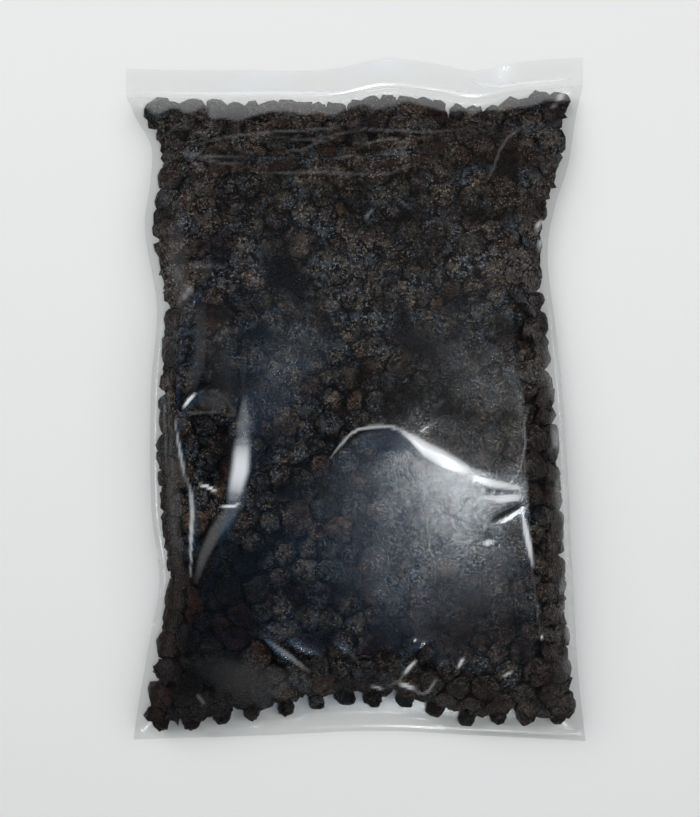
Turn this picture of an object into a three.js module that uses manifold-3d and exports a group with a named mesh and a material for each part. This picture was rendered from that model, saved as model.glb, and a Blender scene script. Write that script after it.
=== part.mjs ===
// A clear plastic pouch packed flat with dried blackcurrants, heat-sealed and lying on its back.
// Millimetres, +Z up: X runs across the pouch, Y along it towards the sealed mouth, and the
// pouch rests on Z = 0. The origin is under the middle of the pouch.

import * as THREE from "three";
import { mergeVertices } from "three/addons/utils/BufferGeometryUtils.js";
import Module from "manifold-3d";

const wasm = await Module();
wasm.setup();

// ---- Driving dimensions -------------------------------------------------------------------

const FLAT_WIDTH = 160; // of the empty pouch, weld to weld
const FILLED_WIDTH = 146; // typical, once the filling has drawn the sides in
const POCKET_LENGTH = 222; // from the bottom fold to the sealed mouth, once filled
const MOUTH_FLAP = 10; // fused band across the mouth and the trimmed film beyond it
const FILM = 0.2; // heavy-gauge film
const FILL_HEIGHT = 23.4; // of the packed fruit between the two films
const CLEARANCE = 0.35; // left between pieces that touch
const SEAL_GAP = 0.6; // left between the pocket and the fused band

const SIDE_WELD = 1.6; // width of the fused margin down each side
const BOTTOM_FOLD = 1.5; // width of the pinched fold along the bottom
const MOUTH_GAP = 0.5; // between the two films at the mouth

const SHOULDER = 22; // run over which the packed slab thins out to its two ends
const SIDE_STEEPNESS = 1.5; // how much shorter its run is at the sides, where the film is tight
const SHOULDER_ROUNDNESS = 0.65; // 0.5 is a quarter circle, 1 a parabola
const CORNER_BLEND = 0.35; // per mm: how sharply side and end shoulders meet
const SEAM_LIFT = 2.4; // height of the seam above the table
const SEAM_RUN = 12; // run over which the back film rises to the seam

// How far each side is drawn in from the flat width by the filling, and how far each end
// stands off its nominal line: [place from -1 to 1, millimetres].
const LEFT_DRAW = [
  [-1, 2.5], [-0.9, 4], [-0.72, 7.5], [-0.5, 11.5], [-0.3, 8.8], [0.1, 8.6],
  [0.35, 10.6], [0.6, 6.4], [0.75, 8.5], [0.85, 8.5], [0.93, 3.5], [1, 0],
];
const RIGHT_DRAW = [
  [-1, 0], [-0.8, 2.5], [-0.4, 5], [0, 7.5], [0.25, 10.3],
  [0.5, 13.2], [0.62, 11], [0.76, 6], [0.9, 3.5], [1, 1],
];
const MOUTH_RISE = [
  [-1, 2], [-0.5, 1.4], [-0.1, 2], [0.14, 5.5], [0.36, 3.6], [0.52, 1.4], [0.76, 4.5], [1, 6],
];
const FOLD_RISE = [[-1, 0], [-0.4, 1.5], [0.1, 3], [0.5, 1.5], [1, -0.5]];

// How far the fruit stands off the bottom fold, besides: [place across, millimetres].
const FRUIT_STANDOFF = [
  [-1, -1], [-0.76, -0.8], [-0.56, 3], [-0.3, 6], [0, 7.5], [0.24, 6], [0.42, 2], [0.62, 1.2], [1, 1.6],
];

// Grid lines of the film, as distances in from an edge. The first step is the weld or fold.
const SIDE_STATIONS = [0, SIDE_WELD, 4, 7, 11, 16, 24, 36, 53];
const END_STATIONS = [0, BOTTOM_FOLD, 4, 8, 12, 17, 24, 31, 39, 48, 57, 66, 75, 84, 93, 102];

const BERRY_DIAMETER = 8.4; // mean, across a dried berry
const BERRY_PRESSED = 0.83; // its height as it lies, as a share of that
const BERRY_SIZE_SPREAD = 0.08; // either way, as a share of the mean
const BERRY_PLEATS = 5;
const PLEAT_DEPTH = 0.12; // of a berry's radius
const BERRY_END_DIMPLE = 0.22; // of a berry's radius
const BROWN_SHARE = 0.3; // of the berries that dried brown instead of black

const RIM_COUNTS = { bottom: 14, side: 16, top: 11 };
const RIM_SIDE_INSET = 7.8; // from the film's side edge to the middle of a rim berry
const RIM_FOLD_INSET = 7.6; // the same from the fold, where the fruit has no more standoff
const RIM_MOUTH_INSET = 6.6; // the same from the mouth
const RIM_WANDER = 0.7; // of a rim berry off its row, either way

const MASS_GRID = 6; // spacing of the packed mass's grid, with a berry on every other point
const MASS_INSET = 9.4; // from the film's edge to the side of the packed mass
const MASS_HEADROOM = 0.7; // least space left under the front film
const MASS_EDGE_DROP = 0.9; // of the mass's upper edge, besides
const MASS_UNDERSIDE = 1.05; // height of its flat underside
const MASS_WANDER = 0.9; // of a berry off its grid point, either way
const MASS_BULGE = 0.6; // of its side, half-way up
const MASS_UNDERCUT = 1; // of its side, at the bottom
const HOLLOW_DEPTH = 2.6; // of the dips between berries on top
const SCALLOP = 1.4; // of the dips between berries down its side

// ---- Helpers ------------------------------------------------------------------------------

const clamp = THREE.MathUtils.clamp;
const lerp = THREE.MathUtils.lerp;

// A repeatable source of random numbers from 0 to 1.
function seededRandom(seed) {
  let state = seed;
  return () => {
    state = (state + 0x6d2b79f5) | 0;
    let mixed = Math.imul(state ^ (state >>> 15), 1 | state);
    mixed = (mixed + Math.imul(mixed ^ (mixed >>> 7), 61 | mixed)) ^ mixed;
    return ((mixed ^ (mixed >>> 14)) >>> 0) / 4294967296;
  };
}

// A random number from -size to size.
const either = (random, size) => (2 * random() - 1) * size;

// A smooth function through [place, value] pairs.
function smoothThrough(pairs) {
  const places = pairs.map(([place]) => place);
  const values = pairs.map(([, value]) => value);
  const curve = new THREE.CubicInterpolant(places, values, 1);
  return (place) => curve.evaluate(clamp(place, -1, 1))[0];
}

// Collects vertices and faces, and hands them over as one indexed geometry.
class MeshMaker {
  positions = [];
  indices = [];

  vertex(point) {
    this.positions.push(point.x, point.y, point.z);
    return this.positions.length / 3 - 1;
  }

  triangle(a, b, c) {
    this.indices.push(a, b, c);
  }

  // The diagonal runs from a to c, or from b to d if turned.
  quad([a, b, c, d], turned = false) {
    if (turned) {
      this.triangle(a, b, d);
      this.triangle(b, c, d);
    } else {
      this.triangle(a, b, c);
      this.triangle(a, c, d);
    }
  }

  geometry() {
    return new THREE.BufferGeometry()
      .setAttribute("position", new THREE.Float32BufferAttribute(this.positions, 3))
      .setIndex(this.indices);
  }
}

function toManifold(geometry) {
  const bare = geometry.clone();
  bare.deleteAttribute("normal");
  bare.deleteAttribute("uv");
  const merged = mergeVertices(bare, 1e-4);
  const vertProperties = new Float32Array(merged.attributes.position.array);
  const triVerts = new Uint32Array(merged.index.array);
  return new wasm.Manifold(new wasm.Mesh({ numProp: 3, vertProperties, triVerts }));
}

function fromManifold(solid) {
  const mesh = solid.getMesh();
  return new THREE.BufferGeometry()
    .setAttribute("position", new THREE.BufferAttribute(mesh.vertProperties, 3))
    .setIndex(new THREE.BufferAttribute(mesh.triVerts, 1));
}

// ---- The filled pouch as a surface --------------------------------------------------------

const leftDraw = smoothThrough(LEFT_DRAW);
const rightDraw = smoothThrough(RIGHT_DRAW);
const mouthRise = smoothThrough(MOUTH_RISE);
const foldRise = smoothThrough(FOLD_RISE);
const fruitStandoff = smoothThrough(FRUIT_STANDOFF);

const leftEdge = (v) => -FLAT_WIDTH / 2 + leftDraw(v);
const rightEdge = (v) => FLAT_WIDTH / 2 - rightDraw(v);
const bottomEdge = (u) => -POCKET_LENGTH / 2 + foldRise(u);
const topEdge = (u) => POCKET_LENGTH / 2 + mouthRise(u);

// Place on the pouch from u across it and v along it, each from -1 to 1.
function planPoint(u, v) {
  return {
    x: lerp(leftEdge(v), rightEdge(v), (u + 1) / 2),
    y: lerp(bottomEdge(u), topEdge(u), (v + 1) / 2),
  };
}

// The u and v over a place on the table, found by repeated correction.
function placeOf(x, y) {
  let u = 0;
  let v = 0;
  for (let pass = 0; pass < 8; pass++) {
    v = (2 * (y - bottomEdge(u))) / (topEdge(u) - bottomEdge(u)) - 1;
    u = (2 * (x - leftEdge(v))) / (rightEdge(v) - leftEdge(v)) - 1;
  }
  return { u, v };
}

// The u and v whose distances in from the film's right edge, mouth and fold are these. From the
// fold, the distance is measured from where the fruit could begin.
const uInset = (distance) => 1 - (2 * distance) / FILLED_WIDTH;
const vBelowMouth = (distance) => 1 - (2 * distance) / POCKET_LENGTH;
const vAboveFold = (distance, u) => -vBelowMouth(distance + fruitStandoff(u));

// Distances in from the nearer side and the nearer end.
function distancesIn(u, v) {
  return {
    side: ((1 - Math.abs(u)) * (rightEdge(v) - leftEdge(v))) / 2,
    end: ((1 - Math.abs(v)) * (topEdge(u) - bottomEdge(u))) / 2,
  };
}

// Smooth lesser of the two distances, each counted from the inside of its seam. A side's counts
// for more, because the slab thins out over a shorter run there.
function distanceFromSeam(u, v) {
  const { side, end } = distancesIn(u, v);
  const seam = v < 0 ? BOTTOM_FOLD + fruitStandoff(u) : 0;
  const fromSide = SIDE_STEEPNESS * (side - SIDE_WELD);
  const nearness = Math.exp(-CORNER_BLEND * fromSide) + Math.exp(-CORNER_BLEND * (end - seam));
  return Math.max(0, -Math.log(nearness) / CORNER_BLEND);
}

// Space between the two films: a flat slab with rounded shoulders and a gentle swell.
function fillDepth(u, v) {
  const run = clamp(distanceFromSeam(u, v) / SHOULDER, 0, 1);
  const shoulder = (1 - (1 - run) ** 2) ** SHOULDER_ROUNDNESS;
  const swell = 0.04 * Math.cos(2.1 * v + 0.6) * Math.cos(1.3 * u - 0.4);
  return FILL_HEIGHT * shoulder * (0.96 + swell);
}

// The back film lies on the table and rises to the seam.
function backHeight(u, v) {
  const { side, end } = distancesIn(u, v);
  const run = clamp(Math.min(side, end) / SEAM_RUN, 0, 1);
  return SEAM_LIFT * (1 - run) ** 2;
}

// Heights between which the filling fits over a point of the table.
function floorOver(x, y) {
  const { u, v } = placeOf(x, y);
  return backHeight(u, v) + FILM + CLEARANCE;
}

function ceilingOver(x, y) {
  const { u, v } = placeOf(x, y);
  return backHeight(u, v) + FILM + fillDepth(u, v) - CLEARANCE;
}

// ---- Pouch --------------------------------------------------------------------------------

// Stations from one edge to the other, as places from -1 to 1 on a span of that length.
function spread(stations, span) {
  const near = stations.map((distance) => -1 + (2 * distance) / span);
  const far = near.map((place) => -place).reverse();
  return [...near, 0, ...far];
}

const ACROSS = spread(SIDE_STATIONS, FILLED_WIDTH);
const ALONG = spread(END_STATIONS, POCKET_LENGTH);

// The film is one sheet folded along the bottom and welded down both sides. Its mouth is open.
function pouchGeometry() {
  const lastColumn = ACROSS.length - 1;
  const lastRow = ALONG.length - 1;
  const maker = new MeshMaker();
  const isCrease = (i, j) => i <= 1 || i >= lastColumn - 1 || j <= 1;
  const isOutermost = (i, j) => i === 0 || i === lastColumn || j === 0;

  const surfacePoint = (i, j, front) => {
    const { x, y } = planPoint(ACROSS[i], ALONG[j]);
    const back = backHeight(ACROSS[i], ALONG[j]);
    const gap = isCrease(i, j) ? 0 : Math.max(fillDepth(ACROSS[i], ALONG[j]), MOUTH_GAP);
    return new THREE.Vector3(x, y, front ? back + 2 * FILM + gap : back);
  };
  const normalAt = (i, j, front) => {
    const across = surfacePoint(Math.min(i + 1, lastColumn), j, front)
      .sub(surfacePoint(Math.max(i - 1, 0), j, front));
    const along = surfacePoint(i, Math.min(j + 1, lastRow), front)
      .sub(surfacePoint(i, Math.max(j - 1, 0), front));
    return across.cross(along).normalize();
  };
  const grid = (make) => ACROSS.map((_, i) => ALONG.map((_, j) => make(i, j)));

  const outerFront = grid((i, j) => maker.vertex(surfacePoint(i, j, true)));
  const outerBack = grid((i, j) => maker.vertex(surfacePoint(i, j, false)));
  const crease = grid((i, j) => {
    if (!isCrease(i, j) || isOutermost(i, j)) return null;
    return maker.vertex(surfacePoint(i, j, true).lerp(surfacePoint(i, j, false), 0.5));
  });
  const innerFace = (front) => grid((i, j) => {
    if (isOutermost(i, j) || crease[i][j] !== null) return crease[i][j];
    const inset = front ? -FILM : FILM;
    return maker.vertex(surfacePoint(i, j, front).addScaledVector(normalAt(i, j, front), inset));
  });
  const innerFront = innerFace(true);
  const innerBack = innerFace(false);

  for (let i = 0; i < lastColumn; i++) {
    const turned = i >= lastColumn / 2;
    const isWeld = i === 0 || i === lastColumn - 1;
    for (let j = 0; j < lastRow; j++) {
      const cell = (face) => [face[i][j], face[i + 1][j], face[i + 1][j + 1], face[i][j + 1]];
      maker.quad(cell(outerFront), turned);
      maker.quad(cell(outerBack).reverse(), !turned);
      if (!isWeld && j > 0) {
        maker.quad(cell(innerFront).reverse(), !turned);
        maker.quad(cell(innerBack), turned);
      }
    }
    maker.quad([outerBack[i][0], outerBack[i + 1][0], outerFront[i + 1][0], outerFront[i][0]]);
    if (!isWeld) {
      const lip = (a, b) => [a[i + 1][lastRow], a[i][lastRow], b[i][lastRow], b[i + 1][lastRow]];
      maker.quad(lip(innerFront, outerFront));
      maker.quad(lip(outerBack, innerBack));
    }
  }
  for (let j = 0; j < lastRow; j++) {
    const edge = (i, a, b) => [a[i][j], a[i][j + 1], b[i][j + 1], b[i][j]];
    maker.quad(edge(lastColumn, outerBack, outerFront));
    maker.quad(edge(0, outerFront, outerBack));
  }
  // The end of a side weld at the mouth, round the end of its crease.
  const weldEnd = (outside, inside) => {
    const [frontOut, backOut] = [outerFront[outside][lastRow], outerBack[outside][lastRow]];
    const [frontIn, backIn] = [outerFront[inside][lastRow], outerBack[inside][lastRow]];
    const middle = crease[inside][lastRow];
    return [[backOut, backIn, middle], [backOut, middle, frontOut], [frontOut, middle, frontIn]];
  };
  weldEnd(lastColumn, lastColumn - 1).forEach(([a, b, c]) => maker.triangle(a, b, c));
  weldEnd(0, 1).forEach(([a, b, c]) => maker.triangle(a, c, b));
  return maker.geometry();
}

// ---- Sealed mouth -------------------------------------------------------------------------

// The films are fused across the mouth and trimmed a little beyond.
function mouthGeometry() {
  const lower = ACROSS.map((u) => {
    const { x, y } = planPoint(u, 1);
    return new THREE.Vector2(x, y + SEAL_GAP);
  });
  const upper = lower.map(({ x, y }) => new THREE.Vector2(x, y + MOUTH_FLAP)).reverse();
  const band = new THREE.Shape([...lower, ...upper]);
  const depth = 2 * FILM;
  return new THREE.ExtrudeGeometry(band, { depth, bevelEnabled: false }).translate(0, 0, SEAM_LIFT);
}

// ---- Berries ------------------------------------------------------------------------------

// A dried berry of unit radius: pleats run from the stalk end to the flower end, and both ends
// are drawn in. With no pleats it is the smooth hull of the same facets.
function berryGeometry(pleated) {
  const columns = 2 * BERRY_PLEATS;
  const geometry = new THREE.SphereGeometry(1, columns, 5);
  if (!pleated) return geometry;
  const position = geometry.attributes.position;
  const point = new THREE.Vector3();
  for (let i = 0; i < position.count; i++) {
    point.fromBufferAttribute(position, i);
    const isPole = Math.abs(point.y) > 0.99;
    const isPleat = (i % (columns + 1)) % 2 === 1;
    const drawnIn = isPole ? BERRY_END_DIMPLE : isPleat ? PLEAT_DEPTH * (1 - point.y ** 2) : 0;
    position.setXYZ(i, ...point.multiplyScalar(1 - drawnIn));
  }
  return geometry;
}

// Middles of the rim berries: along the bottom, up one side, across the top and down the other.
function rimPlaces() {
  const rimU = uInset(RIM_SIDE_INSET);
  const topV = vBelowMouth(RIM_MOUTH_INSET);
  const bottomV = (u) => vAboveFold(RIM_FOLD_INSET, u);
  const corner = 0.06;
  const row = (count, make) => Array.from({ length: count }, (_, k) => make((k + 0.5) / count));
  const across = (u, t) => lerp(-u, u, t);
  return [
    ...row(RIM_COUNTS.bottom, (t) => across(rimU + corner, t)).map((u) => ({ u, v: bottomV(u) })),
    ...row(RIM_COUNTS.side, (t) => ({ u: rimU, v: lerp(bottomV(rimU) + corner, topV, t) })),
    ...row(RIM_COUNTS.top, (t) => ({ u: across(corner - rimU, t), v: topV })),
    ...row(RIM_COUNTS.side, (t) => ({ u: -rimU, v: lerp(topV, bottomV(-rimU) + corner, t) })),
  ];
}

// Each rim berry lies pressed on the back film. Its matrix places the unit berry.
function rimBerries() {
  const random = seededRandom(11);
  return rimPlaces().map(({ u, v }) => {
    const { x, y } = planPoint(u, v);
    const radius = (BERRY_DIAMETER / 2) * (1 + either(random, BERRY_SIZE_SPREAD));
    const lie = new THREE.Euler(either(random, 0.25), 0, either(random, Math.PI), "ZYX");
    const matrix = new THREE.Matrix4().makeRotationFromEuler(lie)
      .premultiply(new THREE.Matrix4().makeScale(radius, radius, radius * BERRY_PRESSED))
      .setPosition(x + either(random, RIM_WANDER), y + either(random, RIM_WANDER), 0);
    settle(matrix);
    return { matrix, isBrown: random() < BROWN_SHARE };
  });
}

// Raises a berry until its hull stands clear of the back film all round.
function settle(matrix) {
  const position = berryGeometry(false).attributes.position;
  const point = new THREE.Vector3();
  let lift = -Infinity;
  for (let i = 0; i < position.count; i++) {
    point.fromBufferAttribute(position, i).applyMatrix4(matrix);
    lift = Math.max(lift, floorOver(point.x, point.y) - point.z);
  }
  matrix.premultiply(new THREE.Matrix4().makeTranslation(0, 0, lift));
}

// ---- Packed mass --------------------------------------------------------------------------

// The berries pressed together inside the rim: cobbled on top, scalloped round the side and
// flat underneath, with a socket for each rim berry.
function packedMassGeometry(berries) {
  const random = seededRandom(5);
  const maker = new MeshMaker();
  const columns = Math.round((FILLED_WIDTH - 2 * MASS_INSET) / MASS_GRID);
  const rows = Math.round((POCKET_LENGTH - 2 * MASS_INSET) / MASS_GRID);
  const isBerry = (i, j) => (i + j) % 2 === 0;
  const isEdge = (i, j) => i === 0 || j === 0 || i === columns || j === rows;

  // A grid point in plan, when the mass's side stands that far in from the film's edge.
  const planAt = (i, j, inset) => {
    const distance = inset + (isEdge(i, j) && !isBerry(i, j) ? SCALLOP : 0);
    const u = uInset(distance) * ((2 * i) / columns - 1);
    return planPoint(u, lerp(vAboveFold(distance, u), vBelowMouth(distance), j / rows));
  };
  const topPoint = (i, j) => {
    const plan = planAt(i, j, MASS_INSET);
    const wander = isEdge(i, j) ? 0 : MASS_WANDER;
    const x = plan.x + either(random, wander);
    const y = plan.y + either(random, wander);
    const dip = isBerry(i, j) ? 0.5 * random() : HOLLOW_DEPTH * (0.75 + 0.5 * random());
    const drop = isEdge(i, j) ? MASS_EDGE_DROP : 0;
    return new THREE.Vector3(x, y, ceilingOver(x, y) - MASS_HEADROOM - drop - dip);
  };
  const numbers = (count) => Array.from({ length: count + 1 }, (_, k) => k);
  const points = numbers(columns).map((i) => numbers(rows).map((j) => topPoint(i, j)));
  const top = points.map((column) => column.map((point) => maker.vertex(point)));
  for (let i = 0; i < columns; i++) {
    for (let j = 0; j < rows; j++) {
      maker.quad([top[i][j], top[i + 1][j], top[i + 1][j + 1], top[i][j + 1]], !isBerry(i, j));
    }
  }

  // Round the edge of the top, counter-clockwise from above, and down the side in two steps.
  const edge = [
    ...numbers(columns - 1).map((i) => [i, 0]),
    ...numbers(rows - 1).map((j) => [columns, j]),
    ...numbers(columns - 1).map((i) => [columns - i, rows]),
    ...numbers(rows - 1).map((j) => [0, rows - j]),
  ];
  const ring = (inset, share) => edge.map(([i, j]) => {
    const { x, y } = planAt(i, j, inset);
    return new THREE.Vector3(x, y, lerp(MASS_UNDERSIDE, points[i][j].z, share));
  });
  const wall = (upper, lower) => edge.forEach((_, k) => {
    const next = (k + 1) % edge.length;
    maker.quad([lower[k], lower[next], upper[next], upper[k]]);
  });
  const bottomRing = ring(MASS_INSET + MASS_UNDERCUT, 0);
  const topLoop = edge.map(([i, j]) => top[i][j]);
  const middleLoop = ring(MASS_INSET - MASS_BULGE, 0.5).map((point) => maker.vertex(point));
  const bottomLoop = bottomRing.map((point) => maker.vertex(point));
  wall(topLoop, middleLoop);
  wall(middleLoop, bottomLoop);
  THREE.ShapeUtils.triangulateShape(bottomRing, [])
    .forEach(([a, b, c]) => maker.triangle(bottomLoop[a], bottomLoop[c], bottomLoop[b]));

  const socketScale = 1 + (2.4 * CLEARANCE) / BERRY_DIAMETER;
  return fromManifold(berries.reduce((mass, { matrix }) => {
    const socket = matrix.clone().scale(new THREE.Vector3().setScalar(socketScale));
    return mass.subtract(toManifold(berryGeometry(false).applyMatrix4(socket)));
  }, toManifold(maker.geometry())));
}

// ---- Materials and assembly ---------------------------------------------------------------

const clearFilm = new THREE.MeshStandardMaterial({
  color: 0xe9eef0, roughness: 0.08, metalness: 0, transparent: true, opacity: 0.22,
});
const fusedFilm = new THREE.MeshStandardMaterial({
  color: 0xeef1f1, roughness: 0.25, metalness: 0, transparent: true, opacity: 0.4,
});
const blackFruit = new THREE.MeshStandardMaterial({ color: 0x1c171a, roughness: 0.5, metalness: 0 });
const brownFruit = new THREE.MeshStandardMaterial({ color: 0x37201b, roughness: 0.5, metalness: 0 });

function namedMesh(name, geometry, material) {
  const mesh = new THREE.Mesh(geometry, material);
  mesh.name = name;
  return mesh;
}

const bag = new THREE.Group();
const berries = rimBerries();
bag.add(namedMesh("pouch", pouchGeometry(), clearFilm));
bag.add(namedMesh("sealed_mouth", mouthGeometry(), fusedFilm));
bag.add(namedMesh("packed_blackcurrants", packedMassGeometry(berries), blackFruit));
berries.forEach(({ matrix, isBrown }, k) => {
  const name = `blackcurrant_${String(k + 1).padStart(2, "0")}`;
  const geometry = berryGeometry(true).applyMatrix4(matrix);
  bag.add(namedMesh(name, geometry, isBrown ? brownFruit : blackFruit));
});

// The outline wanders, so the middle of its box is brought over the origin.
const middle = new THREE.Box3().setFromObject(bag).getCenter(new THREE.Vector3());
bag.position.set(-middle.x, -middle.y, 0);

export default bag;
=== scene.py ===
"""A clear pouch packed flat with dried blackcurrants, lying on a pale table.

The pouch's outline and the lie of its two films repeat the CAD's own formulas. The berries are
packed between the films, and the front film is then drawn down over them, with its creases.
"""

import logging
import math
from dataclasses import dataclass, field, replace
from enum import Enum
from typing import Iterable, Sequence

import bmesh
import bpy
import numpy as np
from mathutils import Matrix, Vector


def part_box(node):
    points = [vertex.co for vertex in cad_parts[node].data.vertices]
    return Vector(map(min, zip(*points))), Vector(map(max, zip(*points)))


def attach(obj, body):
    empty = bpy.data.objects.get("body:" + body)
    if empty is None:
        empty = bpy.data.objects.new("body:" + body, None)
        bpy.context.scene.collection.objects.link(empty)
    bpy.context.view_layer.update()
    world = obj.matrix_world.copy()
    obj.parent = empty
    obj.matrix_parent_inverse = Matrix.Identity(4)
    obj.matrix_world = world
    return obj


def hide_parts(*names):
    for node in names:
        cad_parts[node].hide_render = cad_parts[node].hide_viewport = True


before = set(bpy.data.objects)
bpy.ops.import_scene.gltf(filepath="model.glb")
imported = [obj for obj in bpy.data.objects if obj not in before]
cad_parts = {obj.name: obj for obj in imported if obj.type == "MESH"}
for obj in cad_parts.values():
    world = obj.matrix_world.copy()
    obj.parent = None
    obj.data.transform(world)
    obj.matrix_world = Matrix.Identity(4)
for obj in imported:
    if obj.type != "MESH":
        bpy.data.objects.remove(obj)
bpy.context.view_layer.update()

LOG = logging.getLogger("bag_of_blackcurrants")
MM = 0.001
BODY = "root"

Array = np.ndarray


# ---- Helpers ------------------------------------------------------------------------------


@dataclass(frozen=True)
class SmoothCurve:
    """A smooth function through given places from -1 to 1, as the CAD's outline uses."""

    pairs: tuple[tuple[float, float], ...]

    def __call__(self, place: Array) -> Array:
        """Reads the curve.

        Args:
            place: places along it, held to -1 to 1.

        Returns:
            The curve's value at each place.
        """
        places, values = (np.array(column) for column in zip(*self.pairs))
        place = np.clip(place, -1, 1)
        last = len(places) - 1
        after = np.clip(np.searchsorted(places, place, side="right"), 1, last)
        before = after - 1
        start, end = places[before], places[after]
        previous = np.where(before > 0, before - 1, after)
        following = np.where(after < last, after + 1, before)
        half = (end - start) / 2
        pull_back = half / (start - places[previous])
        pull_on = half / (places[following] - end)
        p = (place - start) / (end - start)
        p2, p3 = p**2, p**3
        return (
            (-pull_back * p3 + 2 * pull_back * p2 - pull_back * p) * values[previous]
            + ((1 + pull_back) * p3 - (1.5 + 2 * pull_back) * p2 - (0.5 - pull_back) * p + 1) * values[before]
            + (-(1 + pull_on) * p3 + (1.5 + pull_on) * p2 + 0.5 * p) * values[after]
            + (pull_on * p3 - pull_on * p2) * values[following]
        )


@dataclass(frozen=True)
class Ripple:
    """Smooth random relief: a sum of plane waves of about one length."""

    wavelength: float
    seed: int
    heading: float = 0.0
    fan: float = math.pi
    waves: int = 18

    def __call__(self, x: Array, y: Array) -> Array:
        """Reads the relief.

        Args:
            x: places across, in millimetres.
            y: places along, in millimetres.

        Returns:
            Heights with a spread of about 1.
        """
        random = np.random.default_rng(self.seed)
        total = np.zeros(np.broadcast(x, y).shape)
        for _ in range(self.waves):
            heading = self.heading + random.uniform(-self.fan / 2, self.fan / 2)
            number = 2 * math.pi / (self.wavelength * random.uniform(0.7, 1.4))
            along = x * math.cos(heading) + y * math.sin(heading)
            total += np.cos(number * along + random.uniform(0, 2 * math.pi))
        return total * math.sqrt(2 / self.waves)


def smooth_step(low: float, high: float, value: Array) -> Array:
    """Rises smoothly from 0 at low to 1 at high."""
    run = np.clip((value - low) / (high - low), 0, 1)
    return run * run * (3 - 2 * run)


def place_vertices(vertices: Iterable[bmesh.types.BMVert], millimetres: Array) -> None:
    """Moves vertices to places in millimetres.

    Args:
        vertices: the vertices, in order.
        millimetres: one row of x, y and z for each.
    """
    for vertex, place in zip(vertices, millimetres * MM):
        vertex.co = place


def make_object(name: str, bm: bmesh.types.BMesh, material: bpy.types.Material) -> bpy.types.Object:
    """Turns a finished bmesh into a smooth-shaded object at the origin.

    Args:
        name: the piece's name.
        bm: its mesh, which is freed.
        material: its finish.

    Returns:
        The new object, linked to the scene.
    """
    for face in bm.faces:
        face.smooth = True
    mesh = bpy.data.meshes.new(name)
    bm.to_mesh(mesh)
    bm.free()
    mesh.materials.append(material)
    piece = bpy.data.objects.new(name, mesh)
    bpy.context.scene.collection.objects.link(piece)
    return piece


# ---- The filled pouch ---------------------------------------------------------------------


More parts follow.
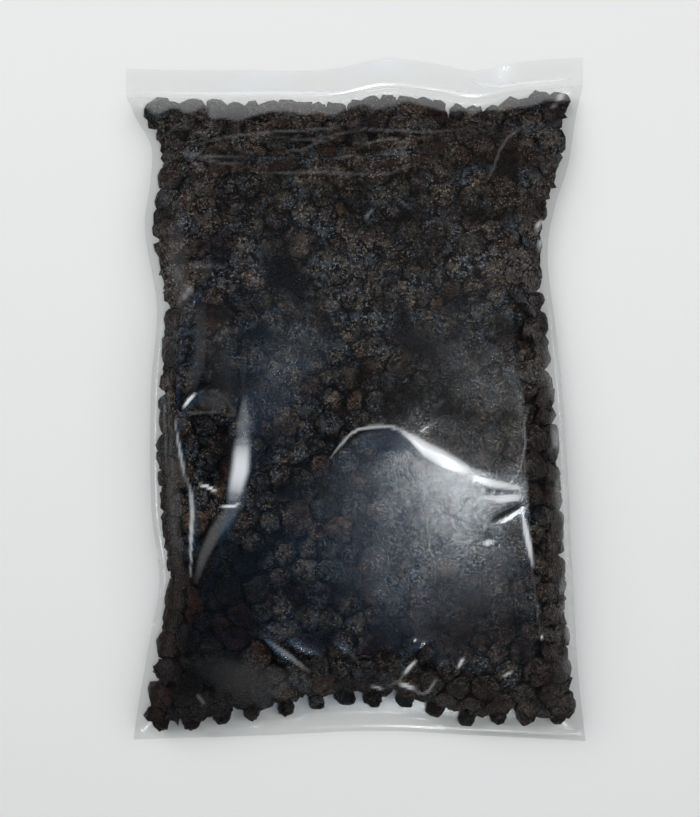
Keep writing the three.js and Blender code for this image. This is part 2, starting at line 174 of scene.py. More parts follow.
@dataclass
class PouchShape:
    """Where the two films of the filled pouch lie, in millimetres over the table."""

    flat_width: float = 160.0
    filled_width: float = 146.0
    pocket_length: float = 222.0
    mouth_flap: float = 10.0
    film: float = 0.2
    fill_height: float = 23.4
    side_weld: float = 1.6
    bottom_fold: float = 1.5
    shoulder: float = 22.0
    side_steepness: float = 1.5
    roundness: float = 0.65
    corner_blend: float = 0.35
    even_fill: float = 0.96
    swell: float = 0.04
    swell_along: tuple[float, float] = (2.1, 0.6)
    swell_across: tuple[float, float] = (1.3, -0.4)
    seam_lift: float = 2.4
    seam_run: float = 12.0
    left_draw: SmoothCurve = SmoothCurve((
        (-1, 2.5), (-0.9, 4), (-0.72, 7.5), (-0.5, 11.5), (-0.3, 8.8), (0.1, 8.6),
        (0.35, 10.6), (0.6, 6.4), (0.75, 8.5), (0.85, 8.5), (0.93, 3.5), (1, 0)))
    right_draw: SmoothCurve = SmoothCurve((
        (-1, 0), (-0.8, 2.5), (-0.4, 5), (0, 7.5), (0.25, 10.3),
        (0.5, 13.2), (0.62, 11), (0.76, 6), (0.9, 3.5), (1, 1)))
    mouth_rise: SmoothCurve = SmoothCurve((
        (-1, 2), (-0.5, 1.4), (-0.1, 2), (0.14, 5.5), (0.36, 3.6), (0.52, 1.4), (0.76, 4.5), (1, 6)))
    fold_rise: SmoothCurve = SmoothCurve(((-1, 0), (-0.4, 1.5), (0.1, 3), (0.5, 1.5), (1, -0.5)))
    fruit_standoff: SmoothCurve = SmoothCurve((
        (-1, -1), (-0.76, -0.8), (-0.56, 3), (-0.3, 6), (0, 7.5),
        (0.24, 6), (0.42, 2), (0.62, 1.2), (1, 1.6)))

    def __post_init__(self) -> None:
        """Brings the outline over the CAD's own pouch."""
        self.shift = 0.0
        edge = np.linspace(-1, 1, 201)
        lowest = min(self.plan(edge, np.full_like(edge, -1))[1])
        self.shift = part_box("pouch")[0].y / MM - lowest

    def left_edge(self, v: Array) -> Array:
        """Where the left edge lies across, at v."""
        return -self.flat_width / 2 + self.left_draw(v)

    def right_edge(self, v: Array) -> Array:
        """Where the right edge lies across, at v."""
        return self.flat_width / 2 - self.right_draw(v)

    def bottom_edge(self, u: Array) -> Array:
        """Where the bottom fold lies along, at u."""
        return self.shift - self.pocket_length / 2 + self.fold_rise(u)

    def top_edge(self, u: Array) -> Array:
        """Where the sealed mouth lies along, at u."""
        return self.shift + self.pocket_length / 2 + self.mouth_rise(u)

    def plan(self, u: Array, v: Array) -> tuple[Array, Array]:
        """Finds places on the table.

        Args:
            u: places across the pouch, from -1 to 1.
            v: places along it, from -1 to 1.

        Returns:
            Their x and y in millimetres.
        """
        left, right = self.left_edge(v), self.right_edge(v)
        bottom, top = self.bottom_edge(u), self.top_edge(u)
        return left + (right - left) * (u + 1) / 2, bottom + (top - bottom) * (v + 1) / 2

    def place_of(self, x: Array, y: Array) -> tuple[Array, Array]:
        """Finds the u and v over places on the table, by repeated correction.

        Args:
            x: places across, in millimetres.
            y: places along, in millimetres.

        Returns:
            Their u and v.
        """
        u, v = np.zeros_like(x), np.zeros_like(x)
        for _ in range(6):
            bottom, top = self.bottom_edge(u), self.top_edge(u)
            v = 2 * (y - bottom) / (top - bottom) - 1
            left, right = self.left_edge(v), self.right_edge(v)
            u = 2 * (x - left) / (right - left) - 1
        return u, v

    def distances_in(self, u: Array, v: Array) -> tuple[Array, Array]:
        """Measures in from the edges.

        Args:
            u: places across the pouch, from -1 to 1.
            v: places along it, from -1 to 1.

        Returns:
            The distances from the nearer side and from the nearer end, in millimetres.
        """
        side = (1 - np.abs(u)) * (self.right_edge(v) - self.left_edge(v)) / 2
        end = (1 - np.abs(v)) * (self.top_edge(u) - self.bottom_edge(u)) / 2
        return side, end

    def distance_from_seam(self, u: Array, v: Array) -> Array:
        """Measures in from the seams, with the corners blended.

        Args:
            u: places across the pouch, from -1 to 1.
            v: places along it, from -1 to 1.

        Returns:
            The smooth lesser of the two distances, each from the inside of its seam.
        """
        side, end = self.distances_in(u, v)
        seam = np.where(v < 0, self.bottom_fold + self.fruit_standoff(u), 0)
        blend = self.corner_blend
        from_side = self.side_steepness * (side - self.side_weld)
        nearness = np.exp(-blend * from_side) + np.exp(-blend * (end - seam))
        return np.maximum(0, -np.log(nearness) / blend)

    def fill_depth(self, u: Array, v: Array) -> Array:
        """Finds the space between the two films, which the fruit fills.

        Args:
            u: places across the pouch, from -1 to 1.
            v: places along it, from -1 to 1.

        Returns:
            Its depth in millimetres.
        """
        run = np.clip(self.distance_from_seam(u, v) / self.shoulder, 0, 1)
        shoulder = (1 - (1 - run) ** 2) ** self.roundness
        along, across = self.swell_along, self.swell_across
        swell = self.swell * np.cos(along[0] * v + along[1]) * np.cos(across[0] * u + across[1])
        return self.fill_height * shoulder * (self.even_fill + swell)

    def back_height(self, u: Array, v: Array) -> Array:
        """Finds the back film, which lies on the table and rises to the seam.

        Args:
            u: places across the pouch, from -1 to 1.
            v: places along it, from -1 to 1.

        Returns:
            Its height in millimetres.
        """
        side, end = self.distances_in(u, v)
        run = np.clip(np.minimum(side, end) / self.seam_run, 0, 1)
        return self.seam_lift * (1 - run) ** 2

    def front_height(self, u: Array, v: Array) -> Array:
        """Height of the front film's outer face, before it is drawn down over the berries."""
        return self.back_height(u, v) + 2 * self.film + self.fill_depth(u, v)


# ---- Creases of the front film ------------------------------------------------------------


@dataclass(frozen=True)
class Line:
    """A line on the bag, in millimetres, with widths spread evenly along it."""

    points: tuple[tuple[float, float], ...]
    widths: tuple[float, ...] = (1.0,)

    def measure(self, x: Array, y: Array) -> tuple[Array, Array, Array]:
        """Measures places against the line.

        Args:
            x: places across, in millimetres.
            y: places along, in millimetres.

        Returns:
            The distance to the line, positive on its right as it is walked; the share of its
            length walked by the nearest point; and the width there.
        """
        points = np.array(self.points, float)
        steps = np.diff(points, axis=0)
        lengths = np.linalg.norm(steps, axis=1)
        walked = np.concatenate([[0], np.cumsum(lengths)])
        nearest = np.full(x.shape, np.inf)
        signed, along = np.zeros(x.shape), np.zeros(x.shape)
        for start, step, length, before in zip(points, steps, lengths, walked):
            dx, dy = x - start[0], y - start[1]
            share = np.clip((dx * step[0] + dy * step[1]) / length**2, 0, 1)
            distance = np.hypot(dx - share * step[0], dy - share * step[1])
            closer = distance < nearest
            right = np.sign(step[1] * dx - step[0] * dy)
            signed = np.where(closer, distance * right, signed)
            along = np.where(closer, before + share * length, along)
            nearest = np.minimum(nearest, distance)
        stations = np.linspace(0, walked[-1], len(self.widths))
        return signed, along / walked[-1], np.interp(along, stations, self.widths)


def held(value: Array, none: float, full: float) -> Array:
    """Falls smoothly from 1 at full to 0 at none."""
    return 1 - smooth_step(full, none, value)


def fade_at_ends(share: Array) -> Array:
    """Fades from 1 along a line to almost 0 at both of its ends."""
    return np.sin(np.pi * np.clip(share, 0.02, 0.98)) ** 0.5


def fall(distance: Array, straight: Array | float, fade: float) -> tuple[Array, Array]:
    """Falls straight on the right of a line, then levels out.

    Args:
        distance: distances to the line, positive on its right.
        straight: how far the straight part reaches.
        fade: the reach over which the rest levels out.

    Returns:
        The drop for a slope of 1, and the distance beyond the straight part.
    """
    fallen = np.maximum(distance, 0)
    beyond = np.maximum(fallen - straight, 0)
    return np.minimum(fallen, straight) + fade * (1 - np.exp(-beyond / fade)), beyond


@dataclass(frozen=True)
class Crease:
    """A sharp ridge in the film, or a groove if its slope is negative."""

    line: Line
    slope: float
    smooth: float = 1.0
    smooth_from: float = 0.3
    smooth_to: float = 0.75

    def relief(self, x: Array, y: Array) -> tuple[Array, Array]:
        """Reads the crease.

        Args:
            x: places across, in millimetres.
            y: places along, in millimetres.

        Returns:
            The height it adds at each place, and how smooth it draws the film there.
        """
        distance, share, width = self.line.measure(x, y)
        nearness = fade_at_ends(share) * np.exp(-np.abs(distance) / width)
        smoothness = self.smooth * smooth_step(self.smooth_from, self.smooth_to, nearness)
        return self.slope * width * nearness, smoothness


@dataclass(frozen=True)
class Fold:
    """A line on whose right the film falls away: straight at first, then levelling out."""

    line: Line
    slope: float
    fade: float = 1.5
    recovery: float = 28.0
    smooth: float = 1.0
    before: float = 0.5
    overlap: float = 0.1
    after: float = 0.6

    def relief(self, x: Array, y: Array) -> tuple[Array, Array]:
        """Reads the fold.

        Args:
            x: places across, in millimetres.
            y: places along, in millimetres.

        Returns:
            The height it adds at each place, and how smooth it draws the film there.
        """
        distance, share, width = self.line.measure(x, y)
        drop, beyond = fall(distance, width, self.fade)
        ends = fade_at_ends(share)
        band = smooth_step(-self.before, self.overlap, distance)
        band = band * held(distance, width + self.after, width - self.overlap)
        return -self.slope * drop * ends * np.exp(-beyond / self.recovery), self.smooth * band * ends


@dataclass(frozen=True)
class Taut:
    """A stretch of film drawn smooth along a line, or raised off the fruit if it has a rise."""

    line: Line
    rise: float = 0.0
    full: float = 0.7
    none: float = 1.1

    def relief(self, x: Array, y: Array) -> tuple[Array, Array]:
        """Reads the stretch.

        Args:
            x: places across, in millimetres.
            y: places along, in millimetres.

        Returns:
            The height it adds at each place, and how smooth it draws the film there.
        """
        distance, _, width = self.line.measure(x, y)
        inside = held(np.abs(distance) / width, self.none, self.full)
        return self.rise * inside, inside


@dataclass(frozen=True)
class Terrace:
    """A long fold on whose right the film falls by one drop all along, within limits set across."""

    line: Line
    slope: float
    run: float
    fade: float
    limits: tuple[float, float, float, float]

    def relief(self, x: Array, y: Array) -> tuple[Array, Array]:
        """Reads the terrace.

        Args:
            x: places across, in millimetres.
            y: places along, in millimetres.

        Returns:
            The height it adds at each place, and how smooth it draws the film there.
        """
        distance, _, _ = self.line.measure(x, y)
        drop, _ = fall(distance, self.run, self.fade)
        start, full, still, end = self.limits
        share = smooth_step(start, full, x) * smooth_step(end, still, x)
        return -self.slope * drop * share, np.zeros_like(x)


@dataclass(frozen=True)
class PaintedLightLine:
    """A line of painted highlight and sheen on the film, laid in as white cloud; a sharp crease also
    whitens the film a little.
    """

    line: Line
    white: float
    full: float = 0.4
    none: float = 1.2

    def share(self, x: Array, y: Array) -> Array:
        """How much painted highlight the line lays on the film at each place, as white cloud."""
        distance, share, width = self.line.measure(x, y)
        return self.white * fade_at_ends(share) * held(np.abs(distance) / width, self.none, self.full)


@dataclass(frozen=True)
class Bridge:
    """A stretch where the film spans flat over the shoulder instead of following it down."""

    line: Line
    rise: float
    full: float = 0.75
    none: float = 1.15

    def share(self, x: Array, y: Array) -> Array:
        """How far each place belongs to the stretch, from 0 to 1."""
        distance, _, width = self.line.measure(x, y)
        return held(np.abs(distance) / width, self.none, self.full)


BRIDGES = (
    Bridge(Line(((-55, 4), (-54, -14), (-51.5, -32)), (8.0, 9.5, 8.5, 6.0)), 0.0),
    Bridge(Line(((-52, 34), (-55, 18), (-55, 4)), (5.0, 7.0, 8.0)), -0.1),
    Bridge(Line(((-54, -34), (-55, -60)), (6.0, 4.0)), -0.2),
)

# The folds that show most, by where they lie on the bag.
LEFT_POCKET = (
    Taut(Line(((-51, -7), (-51, -26)), (8.5, 7.5))),
    Fold(Line(((-50, -60), (-46, -46), (-43.2, -32.2), (-41.9, -24.4), (-40.6, -16.7), (-38.8, -8.9),
               (-38.2, 3)), (0.2, 0.4, 4.0, 4.7, 4.7, 2.2, 0.2)), 0.104, 3.0, 12.0),
    Fold(Line(((-61, -10), (-58.4, -3.5), (-54.7, 1.2), (-51, 2.9), (-45.9, 1.2), (-41, -5)),
              (0.3, 0.9, 0.7, 0.1, 0.1, 0.1)), 0.125, 3.0, 12.0, 0.6),
    Crease(Line(((-59, -5), (-50, -5.4), (-40.5, -5.2)), (0.8,)), 0.12, 0.3),
    Fold(Line(((-57.4, -27.8), (-59.4, -19.4), (-61.4, -9.3), (-61.8, 0)), (0.8, 0.7, 0.6, 0.2)),
         0.133, 0.6, 9.0),
    Fold(Line(((-58, -59.8), (-56, -49.7), (-55, -41.3), (-55.3, -32.8), (-58, -28.8)),
              (0.4, 0.9, 1.0, 0.9, 0.4)), 0.125, 0.6, 9.0),
    Fold(Line(((-50, 34), (-52.5, 26), (-53.5, 14), (-53, 3)), (0.1,)), -0.12, 3.5, 14.0, 0.0),
    Fold(Line(((-59, 29), (-54.5, 37)), (1.5,)), 0.13, 0.8, 9.0),
    Crease(Line(((-50, 40), (-56, 34), (-61, 22), (-63, 8), (-63.5, -8)), (1.6,)), 0.3, 0.2),
)
ARCH = ((1.6, -11.3), (8.3, -10.1), (14.6, -10.9), (18.7, -13.7), (21.8, -16.8), (29.1, -19.9))
RIGHT_ARCH = (
    Fold(Line(((-8, -21), (-3, -15.6), *ARCH, (36.3, -23.3)), (0.3, 0.6, 1.0, 1.5, 2.2, 3.2, 4.8, 4.4, 0.5)),
         0.006, 1.2, 6.0),
    Terrace(Line(((80, -27), (50, -27), (36.3, -23.3), *reversed(ARCH), (-3, -15.6), (-12, -24), (-30, -34),
                  (-60, -38))), 0.075, 20.0, 8.0, (-46, -4, 90, 100)),
    Taut(Line(((-1, -16), (5, -15), (12, -15.4), (16.5, -17.5)), (1.2, 2.6, 3.0, 1.2))),
    Fold(Line(((55, -31.2), (46, -29.8), (38, -27.6)), (1.2, 1.5, 0.8)), 0.025, 0.5, 3.0),
    Fold(Line(((55, -35.2), (47, -35), (38.5, -32.6)), (1.3, 1.4, 0.5)), 0.035, 0.5, 3.0),
    Fold(Line(((56.5, -38.6), (51, -41.2), (46, -42.6)), (0.8, 0.7, 0.3)), 0.045, 0.5, 3.0),
    Crease(Line(((38, -30.2), (44, -31.6), (52, -33.2)), (0.45,)), -0.22, 0.7),
    Crease(Line(((46, -41.8), (51, -39.4), (57, -36.2)), (0.55,)), -0.32, 0.7),
    Crease(Line(((43, -33.8), (38, -34.6), (36, -37)), (0.5,)), -0.1, 0.3),
    Fold(Line(((46, -49.6), (42.6, -48.6)), (1.3,)), 0.07, 0.4, 2.0),
    Fold(Line(((55.6, -34), (56.6, -40), (58, -46), (59.8, -57), (61, -68)), (0.3, 1.2, 1.6, 1.4, 0.3)),
         0.06, 0.5, 6.0),
    Crease(Line(((57.5, 36), (57.3, 12), (57.2, -3), (57.4, -14), (55.6, -25)), (1.0,)), 0.35, 0.3),
)
LOWER_DASHES = (
    Crease(Line(((-33, -81), (-27, -87), (-18, -93.5)), (1.3, 1.8, 1.0)), 0.26, 0.8),
    Crease(Line(((-25, -82), (-19, -86), (-12, -88.5)), (1.6,)), 0.24, 0.3),
    Crease(Line(((-8, -83), (-2, -89), (4, -95)), (1.2,)), 0.3, 0.5),
    Crease(Line(((15, -91), (20, -86), (24, -83)), (1.3,)), 0.3),
    Crease(Line(((10, -97), (17, -99.5), (25, -100)), (1.6,)), 0.6),
    Crease(Line(((24, -101), (27, -95), (29, -90)), (1.2,)), 0.5),
    Crease(Line(((-22, -97.5), (-15, -98.5)), (1.4,)), 0.5, 0.8),
    Taut(Line(((19, -95), (24, -93)), (4.5,))),
    Taut(Line(((-38, -93), (-26, -95)), (5.0,))),
)
MOUTH_FOLDS = (
    Crease(Line(((-60, 84), (-40, 88), (-20, 91.5), (0, 92), (18, 93)), (1.2,)), 0.14, 0.2),
    Crease(Line(((-58, 82), (-42, 84), (-24, 83), (-8, 86), (8, 84), (24, 87)), (1.2,)), 0.14, 0.2),
    Crease(Line(((-24, 69), (-6, 68), (10, 68), (20, 72), (32, 74)), (1.2,)), 0.12, 0.2),
)
# Lines of painted highlight and sheen, laid into the film as white cloud where folds catch the light,
# with a little real whitening along sharp creases: how much, how wide and where.
PAINTED_LIGHT_LINES = tuple(PaintedLightLine(Line(points, widths), white) for white, widths, points in (
    (0.8, (2.9, 3.2, 2.6), ((-38.5, -15.5), (-39.2, -24.4), (-41.2, -33))),
    (0.85, (0.6, 1.5, 2.7, 3.2, 2.7, 1.6), ((14, -10.6), (19, -13.8), (24, -17.8), (29.9, -21.2),
      (35.6, -23.8), (39.5, -25.8))),
    (0.75, (0.9, 1.5, 1.0), ((37.4, -25.8), (45, -28.8), (56.2, -30.7))),
    (0.75, (0.7, 1.5, 1.2), ((42.7, -33.5), (48.5, -34.3), (55.8, -33.5))),
    (0.7, (0.4, 0.7, 0.4), ((47.4, -42.6), (51.8, -40.6), (55.5, -37.6))),
    (0.8, (1.1,), ((43.2, -49), (45, -48.8))),
    (0.45, (0.3, 0.4, 0.5, 0.6, 0.7, 0.5), ((-8.8, -20.5), (-5.4, -16.2), (-2.1, -12.4), (0.8, -10.7),
      (4.5, -9.9), (8.5, -9.6), (12, -9.9), (15.4, -11.1), (18.6, -13.6))),
    (0.7, (0.5, 1.1, 1.0, 0.4), ((55.6, -38.6), (56.8, -43.5), (58.2, -50), (59.6, -57.5))),
    (0.385, (0.3, 0.35, 0.6, 0.6, 0.3), ((-61.4, -6.9), (-60.7, -12.6), (-59.7, -18.4), (-58, -27.1),
      (-56.7, -28.1))),
    (0.455, (0.4, 0.8, 0.8, 0.7, 0.35, 0.3), ((-57, -28.1), (-56, -32.5), (-55.5, -37.2), (-55.7, -41.9),
      (-56, -49.7), (-56, -60.5))),
    (0.95, (0.6,), ((-58.4, -3.2), (-56.7, -0.8), (-54.7, 1.2))),
    (0.059, (0.5,), ((-55.7, 0.2), (-51.3, 2.5), (-47.6, 2.2), (-43.9, -0.5), (-41.2, -4.9))),
    (0.05, (0.45,), ((-60.4, -5.6), (-51, -5), (-40.2, -5.6))),
    (0.95, (0.5,), ((-53, -29.5), (-50.3, -30.2), (-47.3, -31.8))),
    (0.95, (0.5,), ((-45.6, -36.9), (-41.9, -36.9), (-39.5, -35.9))),
    (0.035, (2.8, 3.6, 2.8), ((-53.7, -1.8), (-48.9, -1.2), (-43.2, -2.9))),
    (0.11, (0.6, 2.4, 2.4), ((-37.8, 0.5), (-38.2, -9.3), (-38.5, -17))),
    (0.08, (2.4, 2.6, 2.4, 1.8, 0.9), ((-38.2, -31.8), (-42.5, -38.6), (-47.6, -45.3), (-51.6, -53.4),
      (-54.3, -62.2))),
    (0.05, (1.2,), ((-57.4, -29.8), (-59.1, -24.4), (-60.7, -18.4))),
    (0.03, (1.8, 2.2, 2.2, 1.5), ((-53, 32.9), (-52.3, 22.8), (-53, 12), (-55.7, 1.9))),
    (0.209, (0.6, 1.2, 0.4), ((-60.7, 32.2), (-57.4, 35.6), (-54, 38.3))),
    (0.275, (0.5,), ((-47.3, 39.9), (-46.2, 38.6))),
    (0.05, (0.6,), ((-58.4, 45.7), (-54, 44.3), (-48.6, 44.3))),
    (0.1, (0.4,), ((-66.1, 3.2), (-65.5, -10.9), (-65.1, -24.4))),
    (0.067, (0.35,), ((-63.8, -0.8), (-63.4, -14.3), (-62.1, -27.8), (-60.1, -37.9))),
    (0.063, (0.45,), ((-56.4, 85.6), (-45.9, 88.5), (-37.8, 89.6), (-25, 91.2), (-16.3, 91.6), (-7.5, 92.9),
      (0.6, 94))),
    (0.055, (0.45,), ((-28.4, 88.8), (-18.6, 88.1), (-10.5, 88.8), (-5.1, 90.5), (1.3, 92), (11, 91.2),
      (23.2, 90.5), (34.3, 91.6), (43.1, 93.2))),
    (0.071, (0.45,), ((-60.7, 84.1), (-53.1, 82.4), (-45.1, 81.6), (-38.2, 81.6))),
    (0.067, (0.45,), ((-56.7, 82.4), (-47.6, 80), (-38.8, 79.4))),
    (0.059, (0.45,), ((-58, 83.8), (-55.7, 80.4), (-52.3, 76.7))),
    (0.059, (0.45,), ((-24.3, 83.8), (-18.6, 84.4), (-12.9, 87.1), (-7.5, 88.5))),
    (0.071, (0.45,), ((1.3, 85.6), (6.3, 87.6), (12.7, 88.1), (17.8, 87.1), (16.8, 85.1), (9.4, 84.1))),
    (0.05, (0.45,), ((-8.8, 81.1), (-2.8, 82.4), (1.9, 82.4))),
    (0.055, (0.5,), ((-33.1, 76.3), (-23.7, 76.3), (-15.6, 76.8), (-5.1, 76.3), (5.3, 76), (11.7, 76.3),
      (18.5, 79.7))),
    (0.059, (0.5,), ((43.7, 73), (46.4, 77.2), (48.8, 84.1), (51.8, 88.8), (56.9, 92.5), (58.6, 94.2))),
    (0.055, (0.45,), ((12.4, 69.6), (15.1, 66.9), (19.5, 63.5))),
    (0.15, (0.5,), ((5.7, 63.9), (3, 61.2))),
    (0.7, (0.5,), ((62.3, 62.5), (63.6, 51.1))),
    (0.125, (0.45,), ((57.9, -3.5), (56.5, -9.3), (57.2, -14.3), (56.2, -20.4), (56.9, -25.8))),
    (0.059, (0.45,), ((59.2, -56.8), (60.6, -68.2), (62.3, -81.7))),
    (0.8, (0.5,), ((62.6, -80.4), (62.9, -81.4))),
    (0.03, (2.5, 4, 2.5), ((-2, -16.5), (5, -14.5), (12, -15.5))),
    (0.07, (6, 7, 6), ((12, -12), (24, -19), (36, -25))),
    (0.1, (5, 6, 5), ((22, -22), (31, -26), (40, -30))),
    (0.014, (13, 15, 13), ((-14, -34), (2, -32), (18, -30))),
    (0.2, (0.5, 0.8, 0.5), ((-30.1, -82.1), (-23, -87.1), (-15.6, -93.2))),
    (0.03, (5, 8, 4), ((-50, -92), (-34, -97), (-19, -97))),
    (0.035, (2.0, 2.8, 2.0), ((-62.6, -8), (-62.2, -36), (-60.5, -60))),
    (0.014, (4, 6, 4), ((-47, 34), (-46, 12), (-44, -2))),
    (0.035, (2.5, 4, 2.5), ((-61.5, 64), (-60.8, 46), (-58, 28))),
    (0.067, (0.4,), ((-4.5, -83.7), (-1.4, -86.8), (1.6, -90.5))),
    (0.12, (0.5,), ((10.7, -98.6), (14.8, -95.9), (16.8, -92.5))),
    (0.7, (0.7,), ((16.2, -93.7), (18, -91.2), (20, -88.9))),
    (0.8, (0.9,), ((14.8, -97.2), (17, -98), (19.8, -99.2))),
    (0.25, (0.6,), ((19, -99.6), (22.5, -100.9), (24.4, -100.2), (27.2, -94.8))),
    (0.6, (0.6,), ((34.4, -91.2), (36.2, -87.8))),
    (0.45, (0.5,), ((49.4, -94.2), (52.6, -92.6))),
    (0.5, (0.6,), ((5.2, -98.4), (9.2, -99.6))),
    (0.5, (0.45,), ((21.2, -11.8), (24.8, -9.4))),
    (0.8, (0.5,), ((19.5, -81.4), (20.1, -82.1))),
    (0.22, (0.5,), ((-54, -100.9), (-51.6, -104.6))),
    (0.75, (0.5,), ((-70.7, -49.3), (-69, -55.5), (-66.5, -61.4))),
    (0.6, (0.5,), ((-66.2, -62.4), (-69, -68), (-70.7, -74.2), (-71.4, -83.9))),
    (0.1, (0.4,), ((-71.4, -51), (-72.8, -35.4), (-72.4, -11.1))),
    (0.193, (0.4,), ((-70, 37.4), (-71.4, 46), (-72.4, 53))),
    (0.95, (0.5, 0.7, 0.7, 0.6, 0.6, 0.7, 0.8), ((-80.1, 106.8), (-67.9, 106.2), (-48.9, 106),
      (-29.1, 106.2), (-13.5, 106.1), (-2.8, 106), (7.3, 106.4), (17, 107.4), (28, 107.1), (37.1, 106.3),
      (42.9, 105.7))),
    (0.85, (0.6,), ((39.5, 111.2), (43.6, 109.2), (50.2, 108.5), (58.5, 109.6), (75.9, 111.2))),
    (0.6, (0.6,), ((68.2, 100.1), (70.7, 104.2), (74.8, 108.4))),
    (0.15, (0.4,), ((-19.4, 110.1), (1.4, 110.1), (22.2, 110.8))),
))


@dataclass(frozen=True)
class SheenBand:
    """A band along an edge where the film's reflection is painted in as white cloud: how far in it
    reaches, sways and blurs, in millimetres.
    """

    reach: float
    sway: float
    blur: float

    def share(self, distance: Array, wander: Array) -> Array:
        """How far places belong to the band, by their distance in and the edge's wandering."""
        return held(distance - self.reach - self.sway * wander, self.blur, -self.blur)


@dataclass
class FrontFilmSurface:
    """The lie of the front film over the berries, as heights on a grid of u and v."""

    shape: PouchShape
    columns: int = 206
    rows: int = 226
    close_columns: tuple[tuple[float, float], ...] = ((-0.92, -0.14), (-0.12, 0.84))
    close_rows: tuple[tuple[float, float], ...] = ((-0.9, -0.66), (-0.52, 0.07), (0.62, 1.0))
    closeness: float = 1.6
    close_blend: float = 0.04
    spacing_samples: int = 4001
    edge_calm: float = 9.0
    lumps: tuple[tuple[float, Ripple], ...] = ((0.05, Ripple(44, 3)), (0.012, Ripple(13, 4)))
    settled: float = 0.1
    mouth_run: tuple[float, float] = (62, 92)
    mouth_wrinkle: float = 0.04
    mouth_wrinkles: Ripple = Ripple(5.5, 6, math.pi / 2, 0.5)
    mouth_slant: float = 0.06
    dip: float = 0.006
    deepest_dip_gap: float = 2.4
    lowest_holder: float = 8.0
    # Painted reflection where the film stands off the fruit, laid in as white cloud: its strength, the edge's
    # sway, its bands and their patches.
    sheen_share: float = 0.22
    edge_wander: tuple[tuple[float, Ripple], ...] = ((0.6, Ripple(26, 8)), (0.4, Ripple(9, 12)))
    mouth_sheen: SheenBand = SheenBand(6.4, 1.4, 0.5)
    mouth_sheen_fade: float = 0.07
    side_sheen: SheenBand = SheenBand(3.6, 1.2, 0.7)
    side_sheen_ends: tuple[float, float, float, float] = (-98, -84, 4, 26)
    side_patches: Ripple = Ripple(11, 9)
    least_side_sheen: float = 0.7
    side_sheen_gain: float = 0.5
    seam_clear: tuple[float, float] = (0.8, 2.0)
    crown: tuple[float, float] = (42.0, -27.0)
    crown_reach: float = 48.0
    crown_slope: float = 0.05
    bridge_steepness: float = 3.4

    def __post_init__(self) -> None:
        """Lays out the grid and the film's own swells and creases."""
        self.u_lines = self._spaced(self.columns, self.close_columns)
        self.v_lines = self._spaced(self.rows, self.close_rows)
        self.u, self.v = np.meshgrid(self.u_lines, self.v_lines, indexing="ij")
        self.x, self.y = self.shape.plan(self.u, self.v)
        self.floor = self.shape.back_height(self.u, self.v) + 2 * self.shape.film
        self.inside = smooth_step(0, self.edge_calm, self.shape.distance_from_seam(self.u, self.v))
        creased, self.taut = self._creases()
        self.height = np.maximum(self._bridged() + self.inside * (self._swells() + creased), self.floor)

    def _spaced(self, count: int, close: tuple[tuple[float, float], ...]) -> Array:
        """Spaces grid lines from -1 to 1, closer together over the stretches with fine creases.

        Args:
            count: how many cells they part.
            close: where the close stretches start and end.

        Returns:
            The lines' places.
        """
        places = np.linspace(-1, 1, self.spacing_samples)
        weight = np.ones_like(places)
        for start, end in close:
            rise = smooth_step(start - self.close_blend, start, places)
            weight += self.closeness * (rise * smooth_step(end + self.close_blend, end, places))
        walked = np.cumsum(weight)
        return np.interp(np.linspace(walked[0], walked[-1], count + 1), walked, places)

    def _bridged(self) -> Array:
        """Lays the film over the plain slab, with the stretches that span its shoulder.

        Returns:
            Its height at each point of the grid.
        """
        height = self.shape.front_height(self.u, self.v)
        tight = replace(self.shape, side_steepness=self.bridge_steepness)
        spanning = tight.front_height(self.u, self.v)
        for bridge in BRIDGES:
            height = height + bridge.share(self.x, self.y) * (spanning + bridge.rise - height)
        return height

    def _swells(self) -> Array:
        """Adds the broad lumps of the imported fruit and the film's wrinkles towards its mouth.

        Returns:
            The height they add at each point of the grid.
        """
        x, y = self.x, self.y
        broad = sum(height * ripple(x, y) for height, ripple in self.lumps)
        apart = np.hypot(x - self.crown[0], y - self.crown[1]) / self.crown_reach
        crown = -self.crown_slope * self.crown_reach * (np.sqrt(1 + apart**2) - 1)
        mouth = smooth_step(*self.mouth_run, y)
        across = self.mouth_wrinkles(x, y + self.mouth_slant * x)
        return broad + crown - self.settled + self.mouth_wrinkle * mouth * across

    def _creases(self) -> tuple[Array, Array]:
        """Reads all the listed folds.

        Returns:
            Their relief at each point of the grid, and how smooth they draw the film there.
        """
        relief, taut = np.zeros_like(self.x), np.zeros_like(self.x)
        for fold in (*LEFT_POCKET, *RIGHT_ARCH, *LOWER_DASHES, *MOUTH_FOLDS):
            height, smoothness = fold.relief(self.x, self.y)
            relief += height
            taut = np.maximum(taut, smoothness)
        return relief, taut

    def sheen_and_highlights(self) -> Array:
        """Paints light into the film as white cloud: its reflection where it stands off the fruit, and
        highlights and sheen along the listed lines.

        Returns:
            How much painted light it carries at each point of the grid.
        """
        x, y = self.x, self.y
        side, end = self.shape.distances_in(self.u, self.v)
        side = side - self.shape.side_weld
        wander = sum(share * ripple(x, y) for share, ripple in self.edge_wander)
        low_start, low_full, high_full, high_end = self.side_sheen_ends
        patches = self.least_side_sheen + self.side_sheen_gain * smooth_step(-0.5, 0.5, self.side_patches(x, y))
        low_down = patches * smooth_step(high_end, high_full, y) * smooth_step(low_start, low_full, y)
        # Painted reflection: bands of white cloud along the mouth and the lower right side.
        at_mouth = (self.v > 0) * self.mouth_sheen.share(end, wander) * (1 - self.mouth_sheen_fade * end)
        at_side = (self.u > 0) * self.side_sheen.share(side, wander) * low_down
        # Painted highlights and sheen along the listed lines, kept clear of the mouth seam.
        lines = np.maximum.reduce([line.share(x, y) for line in PAINTED_LIGHT_LINES])
        lines *= np.where(self.v > 0, smooth_step(*self.seam_clear, end), 1)
        return np.maximum(self.sheen_share * np.maximum(at_mouth, at_side), lines)

